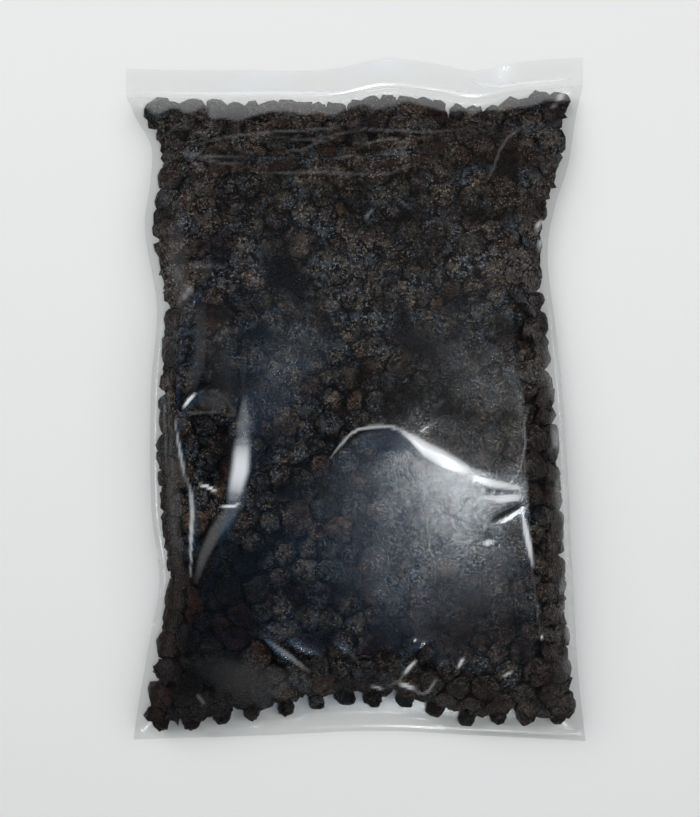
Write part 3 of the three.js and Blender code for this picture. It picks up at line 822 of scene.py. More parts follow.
    def at(self, x: Array, y: Array, heights: Array) -> Array:
        """Reads values of the grid over places on the table.

        Args:
            x: places across, in millimetres.
            y: places along, in millimetres.
            heights: a value for each point of the grid.

        Returns:
            The value over each place, from the four grid points round it.
        """
        u, v = self.shape.place_of(x, y)
        column = np.interp(u, self.u_lines, np.arange(self.columns + 1)).clip(0, self.columns - 1e-6)
        row = np.interp(v, self.v_lines, np.arange(self.rows + 1)).clip(0, self.rows - 1e-6)
        i, j = column.astype(int), row.astype(int)
        s, t = column - i, row - j
        near = heights[i, j] * (1 - s) + heights[i + 1, j] * s
        far = heights[i, j + 1] * (1 - s) + heights[i + 1, j + 1] * s
        return near * (1 - t) + far * t

    def draw_down(self, berries: "Berries") -> None:
        """Lets the film dip where no berry holds it up, except where it is drawn taut.

        Args:
            berries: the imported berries.
        """
        support = np.full(self.height.shape, -np.inf)
        reach = berries.radius.max()
        for centre, radius in zip(berries.centre, berries.radius):
            if centre[2] < self.lowest_holder:
                continue
            near = (np.abs(self.x - centre[0]) < reach) & (np.abs(self.y - centre[1]) < reach)
            offset = np.hypot(self.x[near] - centre[0], self.y[near] - centre[1]) / radius
            dome = np.sqrt(np.maximum(0, 1 - offset**2)) * radius * berries.pressed
            top = np.where(offset < 1, centre[2] + dome, -np.inf)
            support[near] = np.maximum(support[near], top)
        gap = np.clip(self.height - support, 0, self.deepest_dip_gap)
        for _ in range(2):
            gap[1:-1, 1:-1] = (
                gap[1:-1, 1:-1] * 2 + gap[:-2, 1:-1] + gap[2:, 1:-1] + gap[1:-1, :-2] + gap[1:-1, 2:]
            ) / 6
        dip = self.dip * self.inside * (1 - self.taut) * gap
        self.height = np.maximum(self.height - dip, self.floor)


# ---- Berries ------------------------------------------------------------------------------


@dataclass
class Berries:
    """Packed berries: where each lies, its radius across, its dried colour and how dusty it is."""

    centre: Array
    radius: Array
    tint: Array
    pressed: float
    bloom: Array
    is_rim: Array
    touching: tuple[Array, Array]


@dataclass
class BerryPacking:
    """Fills the pouch with berries that push each other apart until they settle."""

    shape: PouchShape
    mean_radius: float = 4.35
    spread: float = 0.17
    pressed: float = 0.83
    packed_share: float = 0.86
    squeeze: float = 0.88
    steps: int = 90
    look_again: int = 6
    size_limits: tuple[float, float] = (0.62, 1.45)
    start_across: float = 0.93
    start_along: float = 0.95
    start_rise: tuple[float, float] = (0.1, 0.9)
    near: float = 1.35
    push: float = 0.45
    longest_step: float = 2.5
    edge_reach: float = 0.95
    back_reach: float = 0.8
    front_reach: float = 0.72
    side_gap: float = 1.9
    bottom_gap: float = 6.0
    mouth_gap: tuple[float, float] = (1.6, 2.4)
    mouth_dip: tuple[float, float, float, float] = (-0.3, 0.05, 0.6, 0.85)
    outer_side: tuple[float, float] = (16, 4)
    outer_mouth: float = 0.72
    outer_corner: tuple[float, float] = (0.25, -0.5)
    browned_share: float = 0.7
    browned: tuple[float, float] = (0.82, 0.89)
    # The dust is scaled by place: less in the lower left corner and more towards the top, so the fruit is
    # darker and lighter there.
    darkened_corner: float = 0.9
    darkened_across: tuple[float, float] = (-0.35, -0.6)
    darkened_along: tuple[float, float] = (-0.3, -0.45)
    bloom_range: tuple[float, float] = (0.8, 1.2)
    lightness_along: SmoothCurve = SmoothCurve((
        (-1, 0.5), (-0.75, 0.5), (-0.5, 0.6), (-0.2, 0.6), (0.1, 0.7), (0.4, 0.85), (0.8, 0.7), (1, 0.6)))
    seed: int = 21

    def rim_from_cad(self) -> tuple[Array, Array]:
        """Reads the berries that the CAD sets round the rim.

        Returns:
            Their places and their radii.
        """
        centres, radii = [], []
        for name in rim_nodes():
            low, high = (np.array(corner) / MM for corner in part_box(name))
            centres.append((low + high) / 2)
            radii.append((high - low)[:2].mean() / 2)
        return np.array(centres), np.array(radii)

    def fill_volume(self) -> float:
        """Measures the space between the films.

        Returns:
            Its volume in cubic millimetres.
        """
        u, v = np.meshgrid(np.linspace(-1, 1, 120), np.linspace(-1, 1, 160), indexing="ij")
        area = self.shape.filled_width * self.shape.pocket_length
        return float(self.shape.fill_depth(u, v).mean() * area)

    def settle(self) -> Berries:
        """Packs the berries.

        Returns:
            The rim berries first, then the rest.
        """
        random = np.random.default_rng(self.seed)
        centre, radius, fixed = self._scattered(random)
        for step in range(self.steps):
            if step % self.look_again == 0:
                first, second = self._near_pairs(centre, radius)
            centre = self._push_apart(centre, radius, fixed, first, second)
            centre = self._keep_in(centre, radius, fixed)
        touching = self._near_pairs(centre, radius)
        centre[:, 2] *= self.pressed
        tint, bloom = self._dried(random, centre)
        return Berries(centre, radius, tint, self.pressed, bloom, fixed, touching)

    def _scattered(self, random: np.random.Generator) -> tuple[Array, Array, Array]:
        """Sets the rim berries in their places and scatters the rest between the films.

        Args:
            random: the source of their sizes and places.

        Returns:
            Their centres, with the height of a berry not yet pressed; their radii; and which are fixed.
        """
        rim_centre, rim_radius = self.rim_from_cad()
        berry_volume = 4 / 3 * math.pi * self.mean_radius**3 * self.pressed
        count = int(self.fill_volume() * self.packed_share / berry_volume) - len(rim_radius)
        radius = self.mean_radius * np.clip(random.normal(1, self.spread, count), *self.size_limits)
        u, v = (random.uniform(-reach, reach, count) for reach in (self.start_across, self.start_along))
        x, y = self.shape.plan(u, v)
        rise = random.uniform(*self.start_rise, count) * self.shape.fill_depth(u, v)
        z = self.shape.back_height(u, v) + rise
        centre = np.vstack([rim_centre, np.column_stack([x, y, z])])
        radius = np.concatenate([rim_radius, radius])
        centre[:, 2] /= self.pressed
        return centre, radius, np.arange(len(radius)) < len(rim_radius)

    def _dried(self, random: np.random.Generator, centre: Array) -> tuple[Array, Array]:
        """Colours and dusts the berries: browner near the edges, lighter towards the top of the bag and
        darker in the lower left.

        Args:
            random: the source of their differences.
            centre: where they lie.

        Returns:
            Their tints and their bloom.
        """
        count = len(centre)
        u, v = self.shape.place_of(centre[:, 0], centre[:, 1])
        side, _ = self.shape.distances_in(u, v)
        reach, more_at_right = self.outer_side
        corner_u, corner_v = self.outer_corner
        is_outer = (side < reach + more_at_right * (u > 0)) | (v > self.outer_mouth)
        is_outer |= (u > corner_u) & (v < corner_v)
        tint = random.uniform(0, 1, count)
        is_browned = is_outer & (random.uniform(0, 1, count) < self.browned_share)
        tint = np.where(is_browned, random.uniform(*self.browned, count), tint)
        # The dust is scaled so the fruit is lighter towards the top and darker in the lower left.
        darkening = smooth_step(*self.darkened_across, u) * smooth_step(*self.darkened_along, v)
        bloom = self.lightness_along(v) * (1 - self.darkened_corner * darkening) * random.uniform(*self.bloom_range, count)
        return tint, bloom

    def _near_pairs(self, centre: Array, radius: Array) -> tuple[Array, Array]:
        """Finds berries close enough to touch soon.

        Args:
            centre: where they lie.
            radius: their radii.

        Returns:
            The first and the second berry of each pair.
        """
        place = centre.astype(np.float32)
        firsts, seconds = [], []
        for i in range(len(place) - 1):
            offset = place[i + 1:] - place[i]
            reach = self.near * (radius[i] + radius[i + 1:])
            near = np.nonzero((offset**2).sum(axis=1) < reach**2)[0]
            firsts.append(np.full(len(near), i))
            seconds.append(near + i + 1)
        return np.concatenate(firsts), np.concatenate(seconds)

    def _push_apart(self, centre: Array, radius: Array, fixed: Array, first: Array, second: Array) -> Array:
        """Moves overlapping berries away from each other, but not those that are fixed.

        Args:
            centre: where they lie.
            radius: their radii.
            fixed: which of them are fixed.
            first: the first berry of each near pair.
            second: the second of each.

        Returns:
            Where they lie now.
        """
        offset = centre[first] - centre[second]
        distance = np.maximum(np.linalg.norm(offset, axis=1), 1e-6)
        overlap = np.maximum(0, self.squeeze * (radius[first] + radius[second]) - distance)
        push = offset / distance[:, None] * (self.push * overlap)[:, None]
        moved = np.zeros_like(centre)
        for axis in range(3):
            moved[:, axis] += np.bincount(first, push[:, axis], len(centre))
            moved[:, axis] -= np.bincount(second, push[:, axis], len(centre))
        length = np.maximum(np.linalg.norm(moved, axis=1, keepdims=True), 1e-6)
        moved *= np.minimum(1, self.longest_step / length)
        return centre + np.where(fixed[:, None], 0, moved)

    def _keep_in(self, centre: Array, radius: Array, fixed: Array) -> Array:
        """Holds the berries between the two films and inside the seams.

        Args:
            centre: where they lie.
            radius: their radii.
            fixed: which of them are fixed.

        Returns:
            Where they lie now.
        """
        x, y, z = centre.T.copy()
        u, v = self.shape.place_of(x, y)
        side, end = self.shape.distances_in(u, v)
        seam = np.where(v < 0, self.shape.bottom_fold + self.shape.fruit_standoff(u), 0)
        need_side = self.shape.side_weld + self.edge_reach * radius + self.side_gap
        start, full, still, end_u = self.mouth_dip
        plain, more = self.mouth_gap
        mouth_gap = plain + more * smooth_step(start, full, u) * smooth_step(end_u, still, u)
        need_end = seam + self.edge_reach * radius + np.where(v < 0, self.bottom_gap, mouth_gap)
        x -= np.sign(u) * np.maximum(0, need_side - side)
        y -= np.sign(v) * np.maximum(0, need_end - end)
        u, v = self.shape.place_of(x, y)
        back = self.shape.back_height(u, v)
        low = (back + self.shape.film) / self.pressed + self.back_reach * radius
        front = back + self.shape.film + self.shape.fill_depth(u, v)
        high = front / self.pressed - self.front_reach * radius
        middle = (low + high) / 2
        z = np.where(low < high, np.clip(z, low, high), middle)
        return np.where(fixed[:, None], centre, np.column_stack([x, y, z]))


def rim_nodes() -> list[str]:
    """Names of the CAD's separate rim berries."""
    return sorted(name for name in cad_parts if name.startswith("blackcurrant_"))


@dataclass
class BerryMesher:
    """Makes wrinkled berries, a few dozen faces each, and joins those of one layer."""

    surface: FrontFilmSurface
    wrinkle_depth: float = 0.92
    wrinkle_closeness: float = 1.6
    wrinkle_waves: int = 5
    wrinkle_range: tuple[float, float] = (0.6, 1.4)
    unwrinkled: float = 1.05
    stretch_range: tuple[float, float] = (0.82, 1.18)
    plumpness: float = 1.30
    rim_plumpness: float = 0.98
    hang_stretch: tuple[float, float, float] = (0.96, 1.12, 1.0)
    hang_below: float = -90.0
    hang_drop: float = 2.8
    hang_run: tuple[float, float] = (52, 34)
    skin_gap: float = 0.04
    films_below_front: float = 1.6
    films_above_back: float = 1.3
    seed: int = 33

    def __post_init__(self) -> None:
        """Seeds the berries' random shapes."""
        self.random = np.random.default_rng(self.seed)

    def _turns(self, count: int) -> Array:
        """Draws random rotations.

        Args:
            count: how many.

        Returns:
            One 3 by 3 matrix for each.
        """
        q = self.random.normal(size=(count, 4))
        w, x, y, z = (q / np.linalg.norm(q, axis=1, keepdims=True)).T
        rows = [
            [1 - 2 * (y * y + z * z), 2 * (x * y - z * w), 2 * (x * z + y * w)],
            [2 * (x * y + z * w), 1 - 2 * (x * x + z * z), 2 * (y * z - x * w)],
            [2 * (x * z - y * w), 2 * (y * z + x * w), 1 - 2 * (x * x + y * y)],
        ]
        return np.moveaxis(np.array(rows), -1, 0)

    def _wrinkled(self, directions: Array, count: int, fineness: int) -> Array:
        """Unit berries, each drawn in by its own folds.

        Args:
            directions: the unit sphere's vertices.
            count: how many berries.
            fineness: subdivisions of the ball. A finer one has closer and shallower folds.

        Returns:
            Vertices by berry, as (berry, vertex, 3).
        """
        waves = self.random.normal(0, self.wrinkle_closeness * fineness, (count, self.wrinkle_waves, 3))
        phases = self.random.uniform(0, 2 * math.pi, (count, self.wrinkle_waves))
        folds = np.cos(np.einsum("vk,nwk->nvw", directions, waves) + phases[:, None, :])
        depth = self.wrinkle_depth / fineness * self.random.uniform(*self.wrinkle_range, (count, 1))
        radius = self.unwrinkled - depth * (1 - np.abs(folds).mean(axis=2)) * 2
        stretch = self.random.uniform(*self.stretch_range, (count, 1, 3))
        return directions[None] * radius[:, :, None] * stretch

    def build(self, name: str, berries: Berries, chosen: Array, material: bpy.types.Material,
              fineness: int = 2) -> bpy.types.Object:
        """Builds one layer of berries as one piece.

        Args:
            name: the piece's name.
            berries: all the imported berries.
            chosen: which of them the piece holds.
            material: their finish.
            fineness: subdivisions of each berry's ball.

        Returns:
            The new piece.
        """
        index = np.nonzero(chosen)[0]
        bm = bmesh.new()
        dryness, bloom = (bm.verts.layers.float.new(layer) for layer in ("dryness", "bloom"))
        ball = bmesh.ops.create_icosphere(bm, subdivisions=fineness, radius=1)["verts"]
        places = self._laid(berries, index, np.array([vertex.co for vertex in ball]), fineness)
        for which, vertices in zip(index, places):
            if which != index[0]:
                ball = bmesh.ops.create_icosphere(bm, subdivisions=fineness, radius=1)["verts"]
            place_vertices(ball, vertices)
            for vertex in ball:
                vertex[dryness] = berries.tint[which]
                vertex[bloom] = berries.bloom[which]
        piece = make_object(name, bm, material)
        LOG.info("%s: %d berries, %d faces", name, len(index), len(piece.data.polygons))
        return piece

    def _laid(self, berries: Berries, index: Array, directions: Array, fineness: int) -> Array:
        """Wrinkles, turns and presses berries where they lie. Those along the bottom rim hang lower.

        Args:
            berries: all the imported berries.
            index: which of them to lay.
            directions: the unit sphere's vertices.
            fineness: subdivisions of the ball.

        Returns:
            Vertices by berry, as (berry, vertex, 3), in millimetres.
        """
        unit = self._wrinkled(directions, len(index), fineness)
        local = np.einsum("nij,nvj->nvi", self._turns(len(index)), unit)
        plumpness = np.where(berries.is_rim[index], self.rim_plumpness, self.plumpness)
        local *= (plumpness * berries.radius[index])[:, None, None]
        across, along, _ = berries.centre[index].T
        hanging = berries.is_rim[index] & (along < self.hang_below)
        local[hanging] *= self.hang_stretch
        self._press_together(local, berries, index)
        places = berries.centre[index, None, :] + local * (1, 1, berries.pressed)
        drop = self.hang_drop * smooth_step(*self.hang_run, np.abs(across))
        places[hanging, :, 1] -= drop[hanging, None]
        places[..., 2] = self._pressed_flat(places)
        return places

    def _press_together(self, local: Array, berries: Berries, index: Array) -> None:
        """Flattens berries where they touch their neighbours.

        Args:
            local: their vertices about their centres, not yet pressed flat; changed in place.
            berries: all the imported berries.
            index: which berry each row of local is.
        """
        row_of = np.full(len(berries.radius), -1)
        row_of[index] = np.arange(len(index))
        centre = berries.centre / (1, 1, berries.pressed)
        for one, other in zip(*berries.touching):
            offset = centre[other] - centre[one]
            distance = np.linalg.norm(offset)
            toward = offset / max(distance, 1e-6)
            share = berries.radius[one] / (berries.radius[one] + berries.radius[other])
            sides = ((row_of[one], toward, share), (row_of[other], -toward, 1 - share))
            for row, way, reach in sides:
                if row >= 0:
                    over = np.maximum(0, local[row] @ way - (distance * reach - self.skin_gap))
                    local[row] -= over[:, None] * way

    def _pressed_flat(self, places: Array) -> Array:
        """Flattens berries against the films.

        Args:
            places: vertices by berry, as (berry, vertex, 3), in millimetres.

        Returns:
            The height of each vertex.
        """
        shape = self.surface.shape
        x, y, z = places[..., 0].ravel(), places[..., 1].ravel(), places[..., 2].ravel()
        u, v = shape.place_of(x, y)
        ceiling = self.surface.at(x, y, self.surface.height) - self.films_below_front * shape.film
        floor = shape.back_height(u, v) + self.films_above_back * shape.film
        return np.clip(z, floor, np.maximum(ceiling, floor)).reshape(places.shape[:2])


# ---- Shader helpers -----------------------------------------------------------------------


Socket = bpy.types.NodeSocket


@dataclass(frozen=True)
class Patches:
    """Random patches: their size in millimetres, the noise's detail, and its values for none and all."""

    size: float
    detail: float
    none: float
    full: float


class Graph:
    """A node tree with short ways to add and join nodes."""

    def __init__(self, tree: bpy.types.NodeTree) -> None:
        """Wraps a node tree.

        Args:
            tree: the tree to add to.
        """
        self.tree = tree

    def add(self, kind: str, inputs: dict | None = None, **properties: object) -> bpy.types.Node:
        """Adds a node.

        Args:
            kind: the node's class name after "ShaderNode".
            inputs: by socket name or number, a value or a socket to join.
            properties: the node's own settings.

        Returns:
            The new node.
        """
        node = self.tree.nodes.new(kind if kind.startswith("Node") else "ShaderNode" + kind)
        for key, value in properties.items():
            setattr(node, key, value)
        for key, value in (inputs or {}).items():
            if isinstance(value, bpy.types.NodeSocket):
                self.tree.links.new(value, node.inputs[key])
            else:
                node.inputs[key].default_value = value
        return node

    def ramp(self, factor: Socket, stops: Sequence[tuple[float, Sequence[float]]]) -> Socket:
        """Adds a colour ramp.

        Args:
            factor: the socket that drives it.
            stops: places and colours.

        Returns:
            Its colour socket.
        """
        node = self.add("ValToRGB", {"Fac": factor})
        elements = node.color_ramp.elements
        while len(elements) < len(stops):
            elements.new(0.5)
        for element, (place, colour) in zip(elements, stops):
            element.position = place
            element.color = (*colour, 1)
        return node.outputs["Color"]

    def math(self, operation: str, *values: object) -> Socket:
        """Adds a maths node and returns its result."""
        return self.add("Math", dict(enumerate(values)), operation=operation).outputs["Value"]

    def attribute(self, name: str) -> Socket:
        """Reads a value that the mesh carries."""
        return self.add("Attribute", attribute_name=name).outputs["Fac"]

    def share(self, value: Socket, low: float, high: float, blend: str = "LINEAR") -> Socket:
        """Finds where a value lies between two others, from 0 to 1."""
        return self.add("MapRange", {0: value, 1: low, 2: high}, interpolation_type=blend).outputs["Result"]

    def patches(self, place: Socket, patches: Patches) -> Socket:
        """Adds random patches, from 0 to 1."""
        inputs = {"Vector": place, "Scale": 1000 / patches.size, "Detail": patches.detail}
        return self.share(self.add("TexNoise", inputs).outputs["Fac"], patches.none, patches.full)

    def mixed(self, factor: Socket, first: object, second: object) -> Socket:
        """Mixes two colours."""
        return self.add("Mix", {0: factor, 6: first, 7: second}, data_type="RGBA").outputs[2]

    def mixed_shader(self, factor: Socket, first: bpy.types.Node, second: bpy.types.Node) -> bpy.types.Node:
        """Mixes two shaders."""
        return self.add("MixShader", {0: factor, 1: first.outputs[0], 2: second.outputs[0]})


def new_material(name: str) -> tuple[bpy.types.Material, Graph, bpy.types.Node]:
    """Makes an empty node material.

    Args:
        name: the material's name.

    Returns:
        The material, its graph and its output node.
    """
    material = bpy.data.materials.new(name)
    material.use_nodes = True
    material.node_tree.nodes.clear()
    graph = Graph(material.node_tree)
    return material, graph, graph.add("OutputMaterial")


def crinkle_group() -> bpy.types.NodeTree:
    """Makes the fine crumpled relief of the film and of the berries' skin.

    Returns:
        A node group with inputs Size, Level and Fineness and the output Height.
    """
    group = bpy.data.node_groups.new("crinkle", "ShaderNodeTree")
    for name, value in (("Size", 1.0), ("Level", 0.0), ("Fineness", 0.5)):
        socket = group.interface.new_socket(name, in_out="INPUT", socket_type="NodeSocketFloat")
        socket.default_value = value
    group.interface.new_socket("Height", in_out="OUTPUT", socket_type="NodeSocketFloat")
    graph = Graph(group)
    given = graph.add("NodeGroupInput")
    place = graph.add("TexCoord").outputs["Object"]
    per_metre = graph.math("DIVIDE", 1000.0, given.outputs["Size"])
    heights = []
    for scale in (per_metre, graph.math("MULTIPLY", per_metre, 2.3)):
        noise = graph.add("TexNoise", {"Vector": place, "Scale": scale, "Detail": 0.0}).outputs["Fac"]
        fold = graph.math("ABSOLUTE", graph.math("SUBTRACT", noise, 0.5))
        heights.append(graph.math("MAXIMUM", fold, given.outputs["Level"]))
    height = graph.math("ADD", heights[0], graph.math("MULTIPLY", heights[1], given.outputs["Fineness"]))
    output = graph.add("NodeGroupOutput")
    group.links.new(height, output.inputs["Height"])
    return group


# ---- Finishes -----------------------------------------------------------------------------


@dataclass(frozen=True)
class BerryFinish:
    """Wrinkled dried skin, nearly black, with some berries dried purple, red-brown, olive or tan."""

    black: tuple[float, float, float] = (0.0030, 0.0026, 0.0029)
    blue_black: tuple[float, float, float] = (0.0034, 0.0048, 0.0090)
    purple: tuple[float, float, float] = (0.016, 0.0055, 0.0075)
    brown: tuple[float, float, float] = (0.030, 0.012, 0.008)
    olive: tuple[float, float, float] = (0.018, 0.017, 0.011)
    tan: tuple[float, float, float] = (0.075, 0.038, 0.018)
    cool_bloom: tuple[float, float, float] = (0.25, 0.285, 0.33)
    warm_bloom: tuple[float, float, float] = (0.33, 0.28, 0.23)
    roughness: float = 0.30
    specular: float = 0.1
    wrinkle: float = 1.3
    wrinkle_fineness: float = 0.9
    wrinkle_relief: float = 0.0022
    blotches: Patches = Patches(2.6, 2.0, 0.36, 0.60)
    dusted: Patches = Patches(12.0, 2.0, 0.32, 0.62)
    warm: Patches = Patches(5.0, 1.0, 0.42, 0.58)
    mottle: Patches = Patches(2.4, 2.0, 0.42, 0.68)
    grain_and_glints: Patches = Patches(1.0, 1.0, 0.50, 0.59)
    specks: Patches = Patches(0.55, 0.0, 0.36, 0.60)
    mottle_dust: float = 0.45
    # Painted glints: how light the wrinkle crests are made, and the heights they cover.
    crest_glint: float = 0.5
    crest_heights: tuple[float, float] = (0.05, 0.0)
    brown_warmth: float = 0.6
    browned: tuple[float, float] = (0.80, 0.82)

    def build(self, crinkle: bpy.types.NodeTree) -> bpy.types.Material:
        """Makes the material.

        Args:
            crinkle: the shared relief group.

        Returns:
            The finish.
        """
        material, graph, output = new_material("dried_blackcurrant_skin")
        dryness = graph.attribute("dryness")
        skin = graph.ramp(dryness, (
            (0.0, self.black), (0.25, self.blue_black), (0.36, self.black), (0.55, self.purple),
            (0.62, self.black), (0.72, self.olive), (0.77, self.blue_black), (0.86, self.brown),
            (0.91, self.black), (0.95, self.brown), (0.97, self.purple), (0.99, self.tan)))
        place = graph.add("TexCoord").outputs["Object"]
        folds = graph.add("Group", node_tree=crinkle)
        folds.inputs["Size"].default_value = self.wrinkle
        folds.inputs["Fineness"].default_value = self.wrinkle_fineness
        height = folds.outputs["Height"]
        blotched = graph.mixed(graph.patches(place, self.blotches), (*self.black, 1), skin)
        dusted = graph.math("MULTIPLY", graph.attribute("bloom"), graph.patches(place, self.dusted))
        # Painted glints: the wrinkle crests and the fine grain are lightened in the colour for the skin's
        # tiny highlights; the grain and the mottle are also real dust.
        grain_and_glints = graph.math("MULTIPLY", graph.patches(place, self.grain_and_glints), graph.patches(place, self.specks))
        crest_glints = graph.math("MULTIPLY", graph.share(height, *self.crest_heights), self.crest_glint)
        mottle = graph.math("MULTIPLY", graph.patches(place, self.mottle), self.mottle_dust)
        dust_and_glints = graph.math("MAXIMUM", grain_and_glints, graph.math("MAXIMUM", crest_glints, mottle))
        brown = graph.math("MULTIPLY", graph.share(dryness, *self.browned), self.brown_warmth)
        warmth = graph.math("MAXIMUM", graph.patches(place, self.warm), brown)
        bloom = graph.mixed(warmth, (*self.cool_bloom, 1), (*self.warm_bloom, 1))
        colour = graph.mixed(graph.math("MULTIPLY", dusted, dust_and_glints), blotched, bloom)
        bump = graph.add("Bump", {"Strength": 1.0, "Distance": self.wrinkle_relief, "Height": height})
        shader = graph.add("BsdfPrincipled", {"Base Color": colour, "Normal": bump.outputs["Normal"]})
        shader.inputs["Roughness"].default_value = self.roughness
        shader.inputs["Specular IOR Level"].default_value = self.specular
        graph.tree.links.new(shader.outputs[0], output.inputs["Surface"])
        return material


@dataclass(frozen=True)
class FilmFinish:
    """Clear glossy film: crumpled where it clings to the fruit, smooth where it is drawn taut."""

    name: str = "clear_film"
    ior: float = 1.5
    clinging_roughness: float = 0.175
    taut_roughness: float = 0.10
    taut_calm: float = 0.92
    crinkle_size: float = 0.8
    crinkle_level: float = 0.0
    crinkle_depth: float = 0.00003
    most_shine: float = 0.055
    rim_shine: float = 0.008
    steepness: tuple[float, float] = (0.04, 0.25)
    tint: tuple[float, float, float] = (0.972, 0.974, 0.972)
    haze: float = 0.0005
    white: tuple[float, float, float] = (0.88, 0.89, 0.90)

    def build(self, crinkle: bpy.types.NodeTree) -> bpy.types.Material:
        """Makes the material.

        Args:
            crinkle: the shared relief group.

        Returns:
            The finish.
        """
        material, graph, output = new_material(self.name)
        folds = graph.add("Group", node_tree=crinkle)
        folds.inputs["Size"].default_value = self.crinkle_size
        folds.inputs["Level"].default_value = self.crinkle_level
        taut = graph.attribute("taut")
        clinging = graph.math("SUBTRACT", 1.0, graph.math("MULTIPLY", taut, self.taut_calm))
        bump = graph.add("Bump", {
            "Strength": 1.0, "Distance": self.crinkle_depth,
            "Height": graph.math("MULTIPLY", folds.outputs["Height"], clinging)}).outputs["Normal"]
        roughness = graph.add(
            "MapRange", {0: taut, 3: self.clinging_roughness, 4: self.taut_roughness}).outputs["Result"]
        clear = graph.add("BsdfTransparent", {"Color": (*self.tint, 1)})
        # The white diffuse layer shows the film's slight haze and the painted reflection and highlights that
        # the attribute lays in.
        white = graph.add("BsdfDiffuse", {"Color": (*self.white, 1)})
        body = graph.mixed_shader(graph.math("MAXIMUM", graph.attribute("haze_and_painted_light"), self.haze), clear, white)
        gloss = graph.add("BsdfGlossy", {"Color": (1, 1, 1, 1), "Roughness": roughness, "Normal": bump})
        fresnel = graph.add("Fresnel", {"IOR": self.ior, "Normal": bump}).outputs[0]
        level, steep = self.steepness
        limit = graph.add("MapRange", {
            0: graph.attribute("steep"), 1: level, 2: steep, 3: self.most_shine, 4: self.rim_shine})
        shine = graph.math("MINIMUM", fresnel, limit.outputs["Result"])
        surface = graph.mixed_shader(shine, body, gloss)
        path = graph.add("LightPath").outputs
        inner = graph.add("NewGeometry").outputs["Backfacing"]
        unlit = graph.math("MAXIMUM", path["Is Shadow Ray"], path["Is Diffuse Ray"])
        seen = graph.mixed_shader(graph.math("MAXIMUM", inner, unlit), surface, clear)
        graph.tree.links.new(seen.outputs[0], output.inputs["Surface"])
        return material


@dataclass(frozen=True)
class TableFinish:
    """Pale matt paper under the bag, which runs into the pale backdrop where it is seen far off."""

    colour: tuple[float, float, float] = (0.862, 0.856, 0.848)
    far_colour: tuple[float, float, float] = (0.81, 0.81, 0.815)
    near: float = 0.3
    far: float = 0.9

    def build(self) -> bpy.types.Material:
        """Makes the material.

        Returns:
            The finish.
        """
        material, graph, output = new_material("pale_table")
        shader = graph.add("BsdfPrincipled", {"Base Color": (*self.colour, 1), "Roughness": 0.8})
        glow = graph.add("Emission", {"Color": (*self.far_colour, 1), "Strength": 1.0})
        place = graph.add("TexCoord").outputs["Object"]
        distance = graph.add("VectorMath", {0: place}, operation="LENGTH").outputs["Value"]
        fade = graph.share(distance, self.near, self.far, "SMOOTHSTEP")
        seen = graph.math("MULTIPLY", fade, graph.add("LightPath").outputs["Is Camera Ray"])
        mixed = graph.mixed_shader(seen, shader, glow)
        graph.tree.links.new(mixed.outputs[0], output.inputs["Surface"])
        return material


# ---- Film pieces --------------------------------------------------------------------------


@dataclass
class FilmSheet:
    """A closed thin sheet of film through a grid of places, drawn taut in parts, and with haze and
    painted light laid in as white cloud in parts.
    """

    name: str
    places: Array
    haze_and_painted_light: Array
    taut: Array
    thickness: float
    faces_up: bool

    def build(self, material: bpy.types.Material) -> bpy.types.Object:
        """Builds the sheet, with its thickness on its inner side.

        Args:
            material: its finish.

        Returns:
            The new piece.
        """
        columns, rows = self.places.shape[0] - 1, self.places.shape[1] - 1
        bm = bmesh.new()
        haze_and_painted_light, taut, steep = (bm.verts.layers.float.new(name) for name in ("haze_and_painted_light", "taut", "steep"))
        bmesh.ops.create_grid(bm, x_segments=columns, y_segments=rows, size=1)
        coords = np.array([vertex.co for vertex in bm.verts])
        column = np.rint((coords[:, 0] + 1) / 2 * columns).astype(int)
        row = np.rint((coords[:, 1] + 1) / 2 * rows).astype(int)
        place_vertices(bm.verts, self.places[column, row])
        for layer, values in ((haze_and_painted_light, self.haze_and_painted_light), (taut, self.taut)):
            for vertex, value in zip(bm.verts, values[column, row]):
                vertex[layer] = value
        bmesh.ops.recalc_face_normals(bm, faces=bm.faces)
        if (sum(face.normal.z for face in bm.faces) > 0) != self.faces_up:
            bmesh.ops.reverse_faces(bm, faces=bm.faces)
        bm.normal_update()
        for vertex in bm.verts:
            vertex[steep] = 1 - abs(vertex.normal.z)
        bmesh.ops.solidify(bm, geom=list(bm.faces), thickness=self.thickness * MM)
        return make_object(self.name, bm, material)


